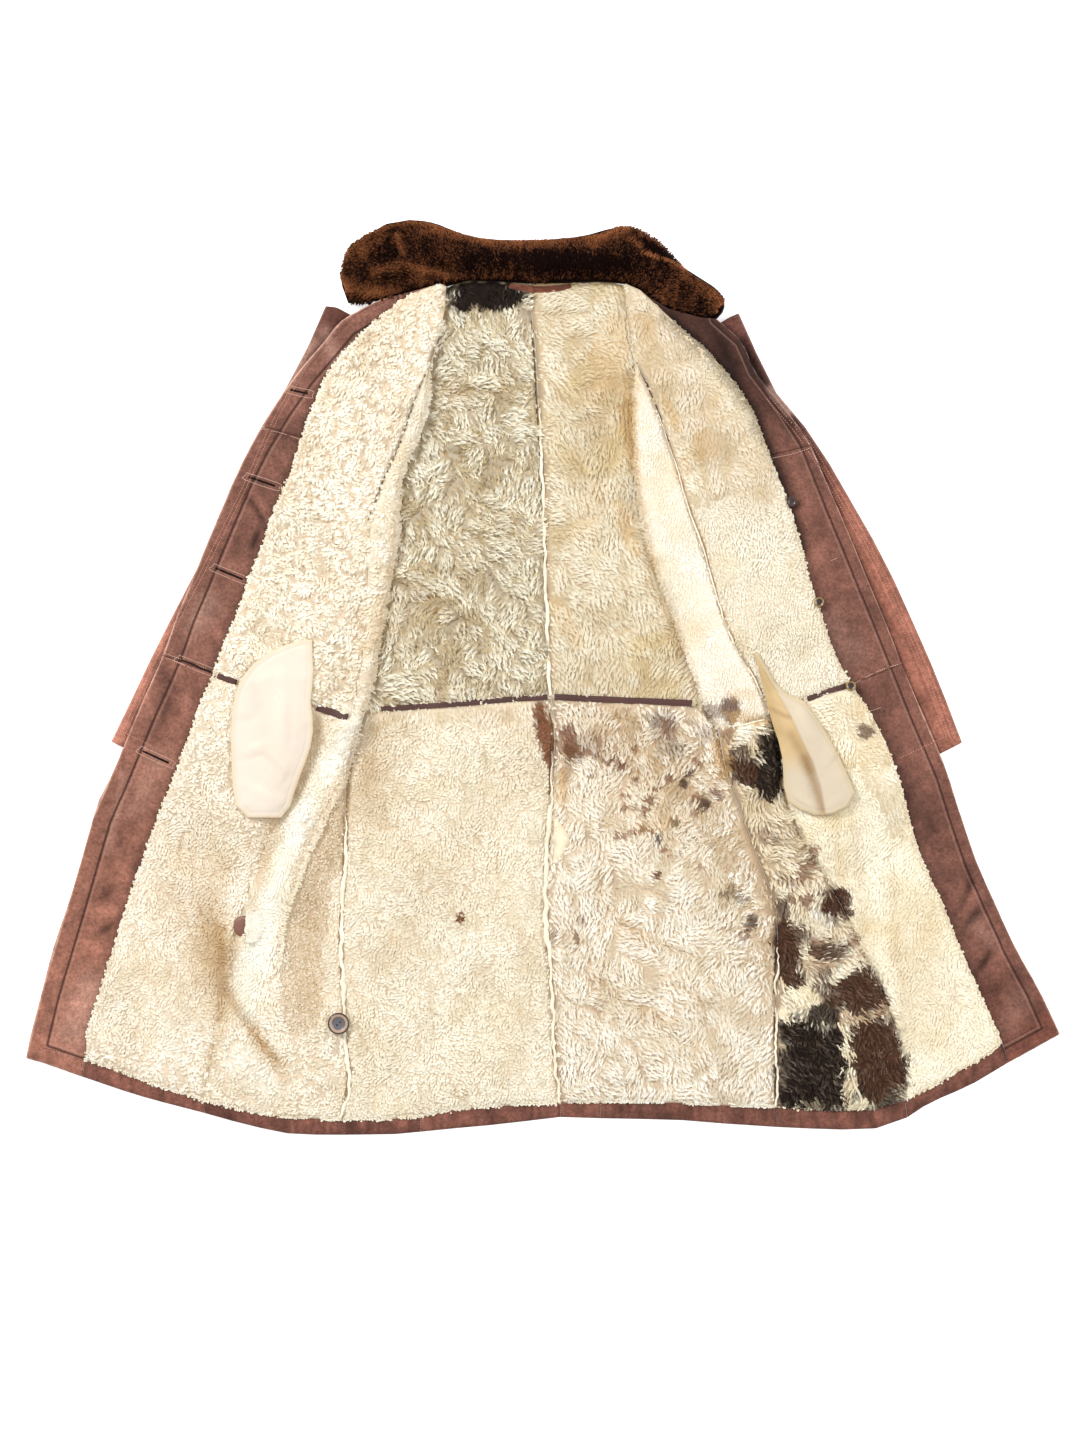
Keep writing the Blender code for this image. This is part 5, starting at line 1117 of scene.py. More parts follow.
def wool(panel, number):
    kind, pale, root, flow = PANELS[panel]
    rng = np.random.default_rng(1000 + number)
    box = np.array(grounds[panel].bound_box)[:, :2] / MM
    (x0, y0), (x1, y1) = box.min(0), box.max(0)
    batches, total = [], 0
    belts = BELTS.get(panel, [])
    for which, (k_name, line, half) in enumerate([(kind, None, 0)] + belts):
        k = KINDS[k_name]
        step = math.sqrt(k["row"] * k["gap"]) * 1.0
        gx, gy = np.meshgrid(np.arange(x0, x1, step), np.arange(y0, y1, step))
        p = np.column_stack([gx.ravel(), gy.ravel()])
        p = p + rng.uniform(-0.5, 0.5, p.shape) * step
        p, nap, rank, border, u, seat = in_rows(p, k, flow, 31 + number)
        taken = np.zeros(len(p), int)
        for b, (_, b_line, b_half) in enumerate(belts):
            d = np.abs(off_line(p, b_line)[0]) + 7 * noise(p, 18, 55 + b)
            taken[d < b_half] = b + 1
        calm = in_valley(p)
        kept = (belongs(p) == number) & (taken == which) & (rng.random(len(p)) < 0.25 + 0.75 * calm)
        p, nap, rank, border, u, seat, calm = (a[kept] for a in (p, nap, rank, border, u, seat, calm))
        n = len(p)
        nap = nap + rng.normal(0, 0.12, n)
        long = k["long"] * rng.uniform(0.75, 1.2, n) * (0.6 + 0.4 * calm)
        long = np.minimum(long, np.maximum(3.2, room(p) + 2.0))
        stand = k["stand"] * rng.uniform(0.75, 1.2, n) * (0.45 + 0.55 * calm) * (1.05 - 0.45 * border)
        base_z = 0.35 - 0.16 * k["stand"] * u ** 2 - 0.18 * k["dome"] * border
        bend = k["bend"] * np.where(rank > 0.5, 1, -1) * rng.uniform(0.6, 1.3, n)
        roll = -k["arch"] * u + 0.5 * k["arch"] * rng.uniform(-1, 1, n)
        # Painted light and shade of each lock: darker at its sides, at its cell's border and in hollows,
        # which also lie lower, and brighter by `bright`.
        sunk = ease((noise(p * [1.0, 0.7], 13, 62 + number) + 0.5 * noise(p, 40, 63 + number) - 0.25) / 0.4)
        light = (k["bright"] + 0.05 * rng.uniform(-1, 1, n) + 0.05 * noise(p, 34, 60 + number)
                 - k["depth"] * (0.26 * u ** 2 + 0.46 * border ** k["crack"])) * (1 - k["hollow"] * sunk)
        base_z = base_z - 1.5 * k["hollow"] * sunk
        # A lock has one colour: the colour is read near the middle of the lock, where the locks are long.
        seen = p + k["tuft"] * (seat - p) + 0.55 * long[:, None] * np.column_stack([np.cos(nap), np.sin(nap)])
        batches.append((k, seen, p, nap, long, k["wide"] * rng.uniform(0.8, 1.2, n), bend, 6.3 * rank,
                        base_z, stand,
                        light, roll))
    for line, side, k_name, reach in FRINGES.get(panel, []):
        k = dict(KINDS[k_name], blunt=0.8)
        spots, way = walk(line, 0.62)
        out = np.column_stack([-way[:, 1], way[:, 0]]) * side
        p = spots - out * rng.uniform(0.5, 4.5, (len(spots), 1))
        keep = belongs(p) == number
        p, out = p[keep], out[keep]
        n = len(p)
        _, rank, border = cells(p, 9.0, 71)
        nap = np.arctan2(out[:, 1], out[:, 0]) + 1.3 * (rank - 0.5) + rng.normal(0, 0.3, n)
        even = 0.45 if reach == OVER_TAPE else 0.75
        batches.append((k, p + 0.5 * reach * out, p, nap,
                        reach * rng.uniform(0.75, 1.0, n) * (even + (1 - even) * rank),
                        rng.uniform(2.0, 2.9, n),
                        k["bend"] * rng.uniform(-1, 1, n), rng.uniform(0, 6.3, n), np.full(n, 0.3),
                        np.full(n, 1.4 if reach < 6 else 3.6),
                        # Painted shade at each cell's border.
                        1 + 0.05 * rng.uniform(-1, 1, n) - 0.1 * border,
                        rng.uniform(-0.5, 0.5, n)))
    if panel in ("side_skirt_left", "front_skirt_left"):
        # Wool of the fold's crest lies over the right half of the brown button.
        n = 700
        p = np.column_stack([rng.uniform(-337, -316, n), rng.uniform(-306, -266, n)])
        p = p[(belongs(p) == number) & (np.hypot((p[:, 0] + 334) / 16, (p[:, 1] + 286) / 17) < 1)]
        n = len(p)
        nap = np.full(n, math.pi) + rng.normal(0, 0.12, n)
        reach = np.clip(p[:, 0] + 341.5 + 1.8 * noise(p * [0.2, 1.0], 5, 88) + rng.uniform(-1.0, 0.6, n), 4,
                        14)
        batches.append((KINDS["combed"], p, p, nap, reach, rng.uniform(2.4, 3.2, n), rng.normal(0, 0.15, n),
                        rng.uniform(0, 6.3, n), np.full(n, 3.9) - 0.16 * (p[:, 0] + 337),
                        rng.uniform(1.6, 2.4, n),
                        1 + 0.04 * rng.uniform(-1, 1, n), rng.uniform(-0.3, 0.3, n)))
    for b, (k, seen, p, nap, long, wide, bend, phase, base_z, stand, light, roll) in enumerate(batches):
        if not len(p):
            continue
        n = len(p)
        seen = seen + rng.normal(0, 1.5, (n, 2))
        tip = spotted(seen, np.tile(pale, (n, 1)))
        deep = spotted(seen, np.tile(root, (n, 1)))
        stained = ease((0.34 - tip[:, 1:2]) / 0.25)
        deep = deep * (1 - 0.6 * stained)
        tip = tip * (1 + stained * (0.5 * rng.random((n, 1)) - 0.15))
        tan = TANNED[panel] * (0.4 + 1.2 * noise(p, 42, 80 + number) + 0.8 * noise(p, 15, 81 + number))
        tan = np.clip(tan, 0, 1)[:, None]
        tip, deep = blend(tip, tip * TAN, tan), blend(deep, deep * TAN, tan)
        # Painted highlight: a few lighter streaks on dark wool, where it catches the light.
        painted_glint = 0.02 if panel == "back_bodice_left" else 0.10
        tip = tip + (painted_glint * rng.random(n) ** 3 * (tip[:, 1] < 0.12))[:, None] * np.array([1.0, 0.72, 0.55])
        if panel == "back_bodice_left":
            grey = np.clip(0.4 + 0.9 * noise(p, 34, 15) + 0.5 * noise(p, 12, 16), 0, 1)[:, None]
            grey = 0.15 * grey * (tip[:, 1:2] > 0.35)
            tip = blend(tip, SMOKE, grey)
        if panel == "front_bodice_right":
            # Beside the top of the right facing the wool's fringe is dark, and the gap there is painted as
            # shadow.
            d, t = off_line(p, FACING_R[:10])
            dark_fringe_and_shadow = (np.exp(-(np.abs(d) / 9) ** 2) * ease((0.75 - t) * 3) * 0.75)[:, None]
            tip, deep = blend(tip, SMOKE * 0.6, dark_fringe_and_shadow), blend(deep, DARK, dark_fringe_and_shadow)
        deep = blend(tip, deep, min(0.85, 1.7 * k["depth"]))
        # Painted shade turns warmer, not grey, as it darkens.
        warm = light[:, None] ** np.array([0.72, 1.0, 1.5])
        # Painted highlight on fold crests: less painted shade there.
        for line, half, strong in CRESTS:
            w = (0.35 * strong * near_line(p, line, half))[:, None]
            deep, warm = blend(deep, tip, w), blend(warm, 1, w)
        obj, faces = ribbons(f"{panel}_wool_{b}", wool_lock, p, nap, long, wide, k["blunt"], k["steps"], bend,
                             k["wave"], 8.5, phase, base_z, stand, roll, deep * warm, tip * warm)
        total += faces
    return total


all_faces = 0
for number, panel in enumerate(ORDER):
    faces = wool(panel, number)
    all_faces += faces
    print("wool", panel, faces)
print("wool triangles in all:", all_faces)

# %% [markdown]
# ## Fur collar
# The collar is dark brown sheared fur with copper tips, brushed out from the neck. It is made as the wool is:
# a low body from its node, then dense short strands. They turn with the nap in patches, which gives velvet
# its light and dark clouds.
# %% Collar
fur, tree, shader = material("sheared fur, dyed dark brown", {"Roughness": 0.6, "Specular IOR Level": 0.03})
tint = add(tree, "ShaderNodeAttribute", attribute_name="tint")
tree.links.new(tint.outputs["Color"], shader.inputs["Base Color"])
RIM_OF_COLLAR = walk([(-226, 446), (-233, 462), (-231, 480), (-222, 497), (-193, 514.6), (-153, 525),
                      (-118, 517.5),
                      (-72, 504), (-26, 502), (19.5, 504), (60, 507.7), (88.5, 519), (117, 513.5),
                      (146, 491.6),
                      (169, 463), (203.5, 443), (208, 432), (200, 422)], 6)[0]
FUR_DARK, FUR_TIP = linear("#110503"), linear("#a3643e")

bm, upper = shell_mesh("collar", 4.0, 4)
flat = plan(upper)
inside = ease(rim_distance(upper, flat) / 9)
COLLAR_FOLDS = [
    (-153, 512, -163, 484, -5.5, 5), (-140, 508, -112, 478, 2.5, 8), (-222, 470, -190, 452, 2.0, 10),
    (-200, 446, -150, 462, -3.0, 5), (111, 500, 146, 466, -5.0, 5), (128, 504, 168, 466, 2.5, 8),
    (-60, 470, 60, 468, 1.5, 14), (-120, 468, -70, 455, -2.0, 8),
]
fold = np.zeros(len(flat))
for x0, y0, x1, y1, deep, wide in COLLAR_FOLDS:
    fold += deep * near_line(flat, [(x0, y0), (x1, y1)], wide)
for v, dz in zip(upper, -5.0 * inside + (fold + 0.8 * noise(flat, 18, 3)) * inside):
    v.co.z = max(v.co.z + dz * MM, 0.002)
collar = finish_mesh(bm, "collar_body", [fur], np.tile(FUR_DARK * 0.8, (len(bm.verts), 1)))
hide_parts("collar")
lay_on_map(collar, 90)
rng = np.random.default_rng(5)
step = 1.45
gx, gy = np.meshgrid(np.arange(-235, 215, step), np.arange(415, 530, step))
p = np.column_stack([gx.ravel(), gy.ravel()]) + rng.uniform(-0.5, 0.5, (gx.size, 2)) * step
p = p[(belongs(p) == 90) & (off_line(p, RIM_OF_COLLAR)[0] < -0.4)]
n = len(p)
nap = combed(p, [(-215, 470, 200), (-180, 510, 130), (-120, 500, 100), (-60, 490, 95), (0, 490, 90),
                 (60, 490, 85), (110, 505, 70), (160, 480, 20), (200, 445, -10), (-190, 440, 230),
                 (-100, 460, 120), (0, 462, 100), (100, 462, 60), (150, 440, -20)])
nap = nap + 0.45 * noise(p, 34, 21) + 0.3 * noise(p, 12, 22) + rng.normal(0, 0.2, n)
copper = 0.09 + 0.10 * noise(p, 34, 23) + 0.12 * noise(p * [1.0, 0.35], 5, 24) + rng.normal(0, 0.12, n)
inward = -off_line(p, RIM_OF_COLLAR)[0]
copper += 0.38 * np.exp(-((inward - 3) / 5) ** 2) + 0.25 * np.exp(-(inward / 2) ** 2)
# Painted highlight where the fur turns its tips to the light, and painted shade where the amount is
# negative: a line, half width and how much.
for x0, y0, x1, y1, wide, more in [(-40, 492, 60, 494, 6, 0.22), (-215, 486, -180, 508, 9, 0.25),
                                   (60, 500, 92, 512, 8, 0.35),
                                   (-165, 505, -158, 486, 4, 0.55), (-150, 470, -108, 458, 5, 0.40),
                                   (-224, 448, -175, 443, 8, 0.45), (-190, 466, -160, 474, 5, 0.30),
                                   (-128, 510, -60, 496, 6, 0.22), (100, 500, 128, 480, 4, 0.45),
                                   (140, 478, 168, 452, 5, 0.30), (178, 444, 206, 432, 6, 0.35),
                                   (-180, 480, -140, 492, 12, -0.15), (-80, 476, 90, 472, 12, -0.25),
                                   (118, 492, 182, 454, 9, -0.22), (111, 485, 140, 478, 2.4, 0.55),
                                   (140, 478, 169, 465, 2.4, 0.55), (117, 493, 157, 476, 4, -0.3)]:
    copper += more * near_line(p, [(x0, y0), (x1, y1)], wide)
copper = np.clip(copper, 0, 1)[:, None]
tip = blend(FUR_DARK, FUR_TIP, copper)
strand = np.minimum(rng.uniform(3.6, 5.4, n), np.maximum(inward + rng.uniform(0.4, 1.6, n), 1.2))
fur_pile, faces = ribbons("collar_fur", fur, p, nap, strand, rng.uniform(1.4, 2.0, n), 0.7, 3,
                          rng.normal(0, 0.3, n), 0.15, 9.0, rng.uniform(0, 6.3, n), np.full(n, 0.5),
                          rng.uniform(1.6, 2.2, n), rng.uniform(-0.5, 0.5, n),
                          np.tile(FUR_DARK * 0.8, (n, 1)), tip,
                          1.4)
print("collar strands:", n, "triangles:", faces)

# %% [markdown]
# ## Cotton pocket bags
# Two cream cotton pocket bags have come out through the lining and lie loose on the wool. Each is a thin
# closed sheet on its node's form, with the creases of a bag that was pressed and then crumpled, and a weave
# too fine to see, drawn 1 mm coarse.
# %% Pocket bags
cotton, tree, shader = material("cotton pocketing, plain weave", {"Roughness": 0.8, "Sheen Weight": 0.1})
place = add(tree, "ShaderNodeTexCoord")
tint = add(tree, "ShaderNodeAttribute", attribute_name="tint")
weave = add(tree, "ShaderNodeTexWave", {"Vector": place.outputs["Object"], "Scale": 300.0, "Distortion": 1.0},
            bands_direction="X")
weft = add(tree, "ShaderNodeTexWave", {"Vector": place.outputs["Object"], "Scale": 300.0, "Distortion": 1.0},
           bands_direction="Y")
crossing = add(tree, "ShaderNodeMath", {0: weave.outputs["Fac"], 1: weft.outputs["Fac"]},
               operation="MULTIPLY")
relief = add(tree, "ShaderNodeBump", {"Height": crossing.outputs["Value"], "Strength": 0.35,
                                      "Distance": 0.3 * MM})
tree.links.new(tint.outputs["Color"], shader.inputs["Base Color"])
tree.links.new(relief.outputs["Normal"], shader.inputs["Normal"])
CLOTH, CLOTH_OLD = linear("#ded1c3"), linear("#d6c3a0")
# Creases: a bent line, depth and half width in millimetres.
BAG_CREASES = [
    ([(-348, -12), (-300, 8)], 0.6, 6), ([(-336, 16), (-322, -60)], -0.6, 7),
    ([(-300, 30), (-304, -90)], 0.5, 8), ([(-350, -96), (-320, -88), (-296, -110)], -0.8, 4),
    ([(-342, -84), (-316, -74)], 0.6, 4), ([(-352, -50), (-326, -44)], -0.5, 5),
    ([(-290, -20), (-292, -100)], -0.6, 5), ([(-346, -120), (-300, -140)], 0.6, 5),
    ([(-300, -128), (-288, -104)], -0.7, 4), ([(254, -20), (262, -30), (276, -36)], -0.9, 3),
    ([(252, -44), (268, -58), (276, -80)], 0.9, 5), ([(262, -84), (282, -76)], -0.6, 4),
    ([(286, -20), (304, -66)], 0.7, 7), ([(326, -104), (336, -92), (344, -84)], -0.8, 3),
    ([(300, -30), (322, -76)], -0.5, 6), ([(280, -128), (312, -150)], 0.6, 5),
]
# The right bag is folded along this line, its left flap lies lower and in the shade.
FLAP = [(236, 38), (242, 28), (256, 4), (268, -17), (284, -46), (298, -76), (309, -98), (318, -126),
        (324, -162)]
TUCK = [(292, -82), (303, -104), (312, -126), (320, -152)]
# Shade under the flap: a line, half width and how much.
BAG_SHADE = [
    ([(284, -66), (300, -94), (306, -106)], 7, 0.45), ([(300, -94), (311, -122), (321, -152)], 6.5, 0.68),
    ([(262, -36), (276, -44), (284, -46)], 3, 0.45), ([(256, -30), (270, -62)], 8, 0.30),
    ([(248, 6), (258, -14)], 6, 0.30),
]


def bag_creases(p):
    h = np.zeros(len(p))
    for line, deep, wide in BAG_CREASES:
        d, t = off_line(p, line)
        h += deep * np.exp(-(d / wide) ** 2) * np.sin(np.pi * np.clip(t, 0.1, 0.9))
    return h


for node in ("pocket_bag_left", "pocket_bag_right"):
    bm, upper = shell_mesh(node, 2.4, 6)
    flat = plan(upper)
    everywhere = plan(bm.verts)
    to_rim = rim_distance(upper, flat)
    worn = 0.7 * np.exp(-(rim_distance(upper, everywhere) / 4) ** 2)
    old = np.clip(0.05 + worn + 0.10 * noise(everywhere, 26, 6), 0, 1)[:, None]
    lift = 0.3 * noise(flat, 13, 8) + 0.3 * noise(flat, 27, 9) + bag_creases(flat)
    lift -= 0.6 * np.exp(-((to_rim - 6) / 1.2) ** 2)
    lift *= ease(to_rim / 4)
    # Painted shade in the hollows of creases and painted highlight on their ridges.
    colour = blend(CLOTH, CLOTH_OLD, old) * (1 + 0.11 * np.clip(bag_creases(everywhere), -1, 1))[:, None]
    if node.endswith("right"):
        lift += 2.2 * ease(off_line(flat, FLAP)[0] / 4 + 0.5) * ease(to_rim / 3) - 0.6
        lift -= 1.2 * near_line(flat, TUCK, 5)
        d = off_line(everywhere, FLAP)[0]
        colour = colour * [0.79, 0.77, 0.68]
        # Painted shade on the lower left flap, which lies under the fold.
        under = (ease(0.5 - d / 1.6) * ease((everywhere[:, 1] + 118) / 40))[:, None] * 0.8
        colour = blend(colour, linear("#c6a873"), under)
        for line, half, strong in BAG_SHADE:
            w = (strong * near_line(everywhere, line, half))[:, None] * ease(0.5 - d / 3)[:, None]
            colour = blend(colour, linear("#8a683c"), w)
    for v, dz in zip(upper, lift + 1.4):
        v.co.z += dz * MM
    made = finish_mesh(bm, node + "_cotton", [cotton], colour)
    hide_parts(node)

# %% [markdown]
# ## Tapes, raw edges and thread
# A dark grosgrain tape covers the waist seam inside, a brown suede strip binds the back neck, and along the
# long seams the cut edges of the skins stand up as narrow wavy strips of pale leather. Each is a band laid
# along a line: its section is drawn across the line and swept along it.
# %% Bands along lines
def band(name, line, wide, thick, mat, colour, ribs=0, wave=0.0, lift=0.0, seed=1, step=2.5):
    spots, way = walk(line, step)
    across = np.column_stack([-way[:, 1], way[:, 0]])
    n = len(spots)
    if wave:
        sway = wave * noise(spots, 13, seed) + 0.5 * wave * noise(spots, 5, seed + 1)
        spots = spots + across * sway[:, None]
    along = np.linspace(0, 1, n)
    half = 0.5 * np.interp(along, [a for a, _ in wide], [w for _, w in wide]) if isinstance(wide, list) \
        else np.full(n, 0.5 * wide)
    if wave:
        half = half * (1 + 0.3 * noise(spots, 11, seed + 2))
    wide = 2 * half[:, None]
    cols = 3 if not ribs else 4 * ribs + 1
    bm = bmesh.new()
    rows = []
    mid = top(spots)
    mid = np.maximum(mid, np.maximum(top(spots + across * wide * 0.4),
                                     top(spots - across * wide * 0.4)) - 2.0)
    mid = np.convolve(np.pad(mid, 3, mode="edge"), np.ones(7) / 7, mode="valid")
    for k in range(n):
        row = []
        for c in range(cols):
            s = 2 * c / (cols - 1) - 1
            q = spots[k] + across[k] * half[k] * s
            bulge = 0.25 * thick * math.cos(ribs * math.pi * 2 * (s + 1) / 2) if ribs else 0.0
            z = mid[k] + lift + thick + bulge - 0.2 * thick * abs(s) ** 3
            row.append(bm.verts.new((q[0] * MM, q[1] * MM, z * MM)))
        rows.append(row)
    for a, b in zip(rows, rows[1:]):
        for c in range(cols - 1):
            bm.faces.new((a[c + 1], a[c], b[c], b[c + 1]))
    bm.normal_update()
    if sum(f.normal.z for f in bm.faces) < 0:
        bmesh.ops.reverse_faces(bm, faces=bm.faces)
    bmesh.ops.solidify(bm, geom=bm.faces[:], thickness=thick * MM)
    bmesh.ops.recalc_face_normals(bm, faces=bm.faces)
    p = plan(bm.verts)
    tone = (1 + 0.10 * noise(p, 9, seed + 4) + 0.08 * noise(p, 30, seed + 5))[:, None]
    return finish_mesh(bm, name, [mat], colour * tone)


tape, tree, shader = material("viscose grosgrain tape", {"Roughness": 0.55})
tint = add(tree, "ShaderNodeAttribute", attribute_name="tint")
tree.links.new(tint.outputs["Color"], shader.inputs["Base Color"])
TAPES = {
    "waist_tape_back_left": ([(-186, -35.5), (-164, -35), (-95, -30), (-49, -26), (5, -22.5)], 5.4),
    "waist_tape_back_right": ([(13, -22.5), (66, -25), (157, -29), (171, -30)], 6.4),
    "waist_tape_side_left": ([(-259, -34), (-240, -41), (-224, -46)], 7.6),
    "waist_tape_front_left": ([(-373, 2), (-360, -3), (-351, -6)], 5.6),
    "waist_tape_front_right": ([(303, -25), (324, -17), (350, -9)], 5.2),
}
for k, (node, (line, wide)) in enumerate(TAPES.items()):
    made = band(node + "_ribbed", line, wide, 1.3, tape, linear("#4a2c27"), ribs=3, lift=2.0, seed=30 + k,
                step=3)
    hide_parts(node)
STRIP = [(-39, 450), (-24, 447), (-4, 445.5), (16, 446.5), (32, 450)]
strip = band("neck_strip_suede", STRIP, [(0, 3), (0.2, 6.2), (0.75, 6), (1, 2)], 1.8, suede,
             linear("#7a4a38"),
             ribs=3, lift=1.6, seed=41, step=3)
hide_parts("neck_strip")
RAW = {
    "raw_edge_centre": (CENTRE[4:], [(0, 0.8), (0.15, 3.4), (1, 4.0)], 1.6, 0.2, "#f3e8d2", 51),
    "raw_edge_centre_low": (CENTRE_LOW[3:], [(0, 0.8), (0.1, 1.8), (0.2, 6.5), (0.5, 6.0), (0.65, 4.0),
        (1, 3.4)], 2.4, 0.2, "#f1e5cc", 52),
    "raw_edge_bare": ([(14, -163), (20, -180), (20, -195), (14, -214)], [(0, 4), (0.35, 18), (0.6, 17),
        (1, 5)], 0.6, 0.1, "#e2d3b8", 57),
    "raw_edge_side_left": (SIDE_BACK_L[3:], [(0, 1), (0.15, 5.0), (0.7, 5.4), (1, 4.0)], 2.0, 0.4, "#f3e8d2",
        53),
    "raw_edge_side_right": (SIDE_BACK_R[5:], [(0, 0.8), (0.15, 2.6), (1, 2.6)], 2.6, 0.8, "#efe3cb", 54),
    "raw_edge_arm_right": (ARM_R[2:], [(0, 0.7), (0.4, 1.6), (1, 1.8)], 0.8, 0.3, "#f5ebd8", 55),
    "raw_edge_waist_right": ([(203, -58), (226, -55), (263, -46)], 1.8, 0.8, 0.3, "#f1e5cc", 58),
    "raw_edge_inner": ([(339, -396), (349, -417), (352, -450), (359, -468), (367, -491)], 2.6, 1.6, 0.8,
        "#d9cbb0", 56),
}
raws = [band(name, line, wide, 1.2, hide, linear(code), wave=wave, lift=lift + 0.8, seed=seed)
        for name, (line, wide, wave, lift, code, seed) in RAW.items()]
# Painted shadow: thin dark strips beside the seams, for the crevice where the wool parts, and a near-black
# band for the buttonhole that lies in a seam. They use the cut-edge leather material.
GAPS = {
    "gap_centre": (CENTRE[1:6], 1.3, -2.2, "#5a4228", 61),
    "gap_centre_low": (CENTRE_LOW[1:6], 1.2, -3.2, "#6b4a30", 62),
    "gap_arm_right": (ARM_R[:4], 1.6, 0.8, "#4a3322", 63),
    "gap_arm_right_low": (ARM_R[3:], 1.1, 1.5, "#a98857", 67),
    "gap_side_left": (SIDE_BACK_L[3:], 1.1, -2.2, "#9a7a4e", 64),
    "gap_side_right": (SIDE_BACK_R[5:], 1.2, -1.6, "#4a3322", 65),
    "buttonhole_in_seam_shadow": (HOLES[3], 2.0, 0.0, "#241815", 66),
}
for name, (line, wide, far, code, seed) in GAPS.items():
    made = band(name, beside(line, far), wide, 0.8, hide, linear(code), wave=0.7, lift=0.6, seed=seed)


# %% [markdown]
# Stitches are short pieces of thread that dip in and out of the leather. One stitch is a tiny eight-sided
# spindle, and each seam repeats it along its line; all stitches of a colour are one joined mesh.
# %% Stitches
def stitches(name, runs, colour):
    """runs: (line, pitch, length, thickness, height above the surface)."""
    unit = np.array([(-0.5, 0, 0), (0, 0.5, 0), (0, 0, 0.5), (0, -0.5, 0), (0, 0, -0.5), (0.5, 0, 0)])
    faces = np.array([(0, 2, 1), (0, 3, 2), (0, 4, 3), (0, 1, 4), (5, 1, 2), (5, 2, 3), (5, 3, 4), (5, 4, 1)])
    verts = []
    for line, pitch, long, thick, above in runs:
        spots, way = walk(line, pitch)
        z = top(spots) + above
        slope = (top(spots + way * 1.2) - top(spots - way * 1.2)) / 2.4
        for q, w, zz, s in zip(spots, way, z, slope):
            along = np.array([w[0], w[1], np.clip(s, -0.6, 0.6)]) * long
            side = np.array([-w[1], w[0], 0]) * thick
            verts.append(np.array([*q, zz]) + unit[:, :1] * along + unit[:, 1:2] * side
                         + unit[:, 2:] * np.array([0, 0, thick]))
    n = len(verts)
    mesh = bpy.data.meshes.new(name)
    mesh.from_pydata((np.vstack(verts) * MM).tolist(), [],
                     (faces[None] + 6 * np.arange(n)[:, None, None]).reshape(-1, 3).tolist())
    mesh.materials.append(material(name + " thread", {"Base Color": (*colour, 1), "Roughness": 0.6})[0])
    return placed(name, mesh)


def hole_frame(a, b):
    a, b = np.array(a, float), np.array(b, float)
    w = (b - a) / np.linalg.norm(b - a)
    s = np.array([-w[1], w[0]]) * 4.2
    a, b = a - w * 3.5, b + w * 3.5
    return [tuple(a + s), tuple(b + s), tuple(b + w * 1.5), tuple(b - s), tuple(a - s), tuple(a - w * 1.5),
            tuple(a + s)]


left_stitch = [q for q in beside(EDGE_L[2:], GROOVE_AT - RIM_AT) if q[1] > -418]
right_stitch = [tuple(q - np.interp(q[1], *CLOSER) * np.array([-w[1], w[0]]))
                for q, w in zip(*walk(EDGE_R[2:], 12)) if q[1] > -392]
pale_runs = [(hole_frame(*h), 1.9, 1.8, 0.95, 0.2) for h in HOLES]
dark_runs = [(left_stitch, 3.6, 2.9, 0.8, 0.1), (right_stitch, 3.6, 2.9, 0.8, 0.1),
             ([(-574, -426), (-550, -431), (-527, -438)], 3.4, 2.4, 0.9, 0.2),
             ([(572, -399), (552, -409), (530, -420)], 3.4, 2.4, 0.9, 0.2)]
pale_runs += [([(-322, 285), (-300, 280), (-277, 272)], 2.6, 2.4, 0.8, 0.2),
              ([(307, 263), (286, 256), (262, 251)], 2.6, 2.4, 0.8, 0.2),
              ([(-432, 27), (-405, 17), (-382, 8)], 2.6, 2.4, 0.8, 0.2),
              ([(-432, 22), (-412, 15)], 2.6, 2.4, 0.8, 0.2),
              ([(411, 16), (384, 7), (358, -6)], 2.6, 2.5, 1.0, 0.2),
              ([(331, 134), (336, 136)], 2.4, 2.6, 0.7, 0.4), ([(374, -39), (386, -35)], 2.4, 2.6, 0.7, 0.4)]
for (xa, ya), (xb, yb) in [((-388, -503), (-390, -487)), ((-228, -525), (-232, -509)),
                           ((-141, -522), (-141, -506)),
                           ((20, -504), (20, -490)), ((66, -506), (66, -490)), ((207, -512), (207, -493)),
                           ((268, -516), (268, -495)), ((418, -505), (416, -488))]:
    dark_runs.append(([(xa, ya), (xb, yb)], 3.0, 2.4, 0.8, 0.1))
pale_stitches = stitches("pale_stitches", pale_runs, linear("#dcb8a8"))
dark_stitches = stitches("dark_stitches", dark_runs, linear("#4a201c"))
black_stitches = stitches("black_stitches", [
    ([(-141.5, 333), (-153, 300), (-166, 262), (-184, 224), (-200, 181)], 7.5, 6.0, 1.3, 1.6),
    ([(-531, -440), (-529, -458)], 2.6, 2.0, 1.0, 0.2), ([(527, -424), (535, -442)], 2.6, 2.0, 1.0, 0.2)],
    linear("#1d120f"))
strip_stitches = stitches("strip_stitches", [(beside(STRIP, far), 1.9, 2.1, 0.7, 4.2) for far in (-1.7, 0.2,
                                                                                                  2.0)],
                          linear("#2c1510"))

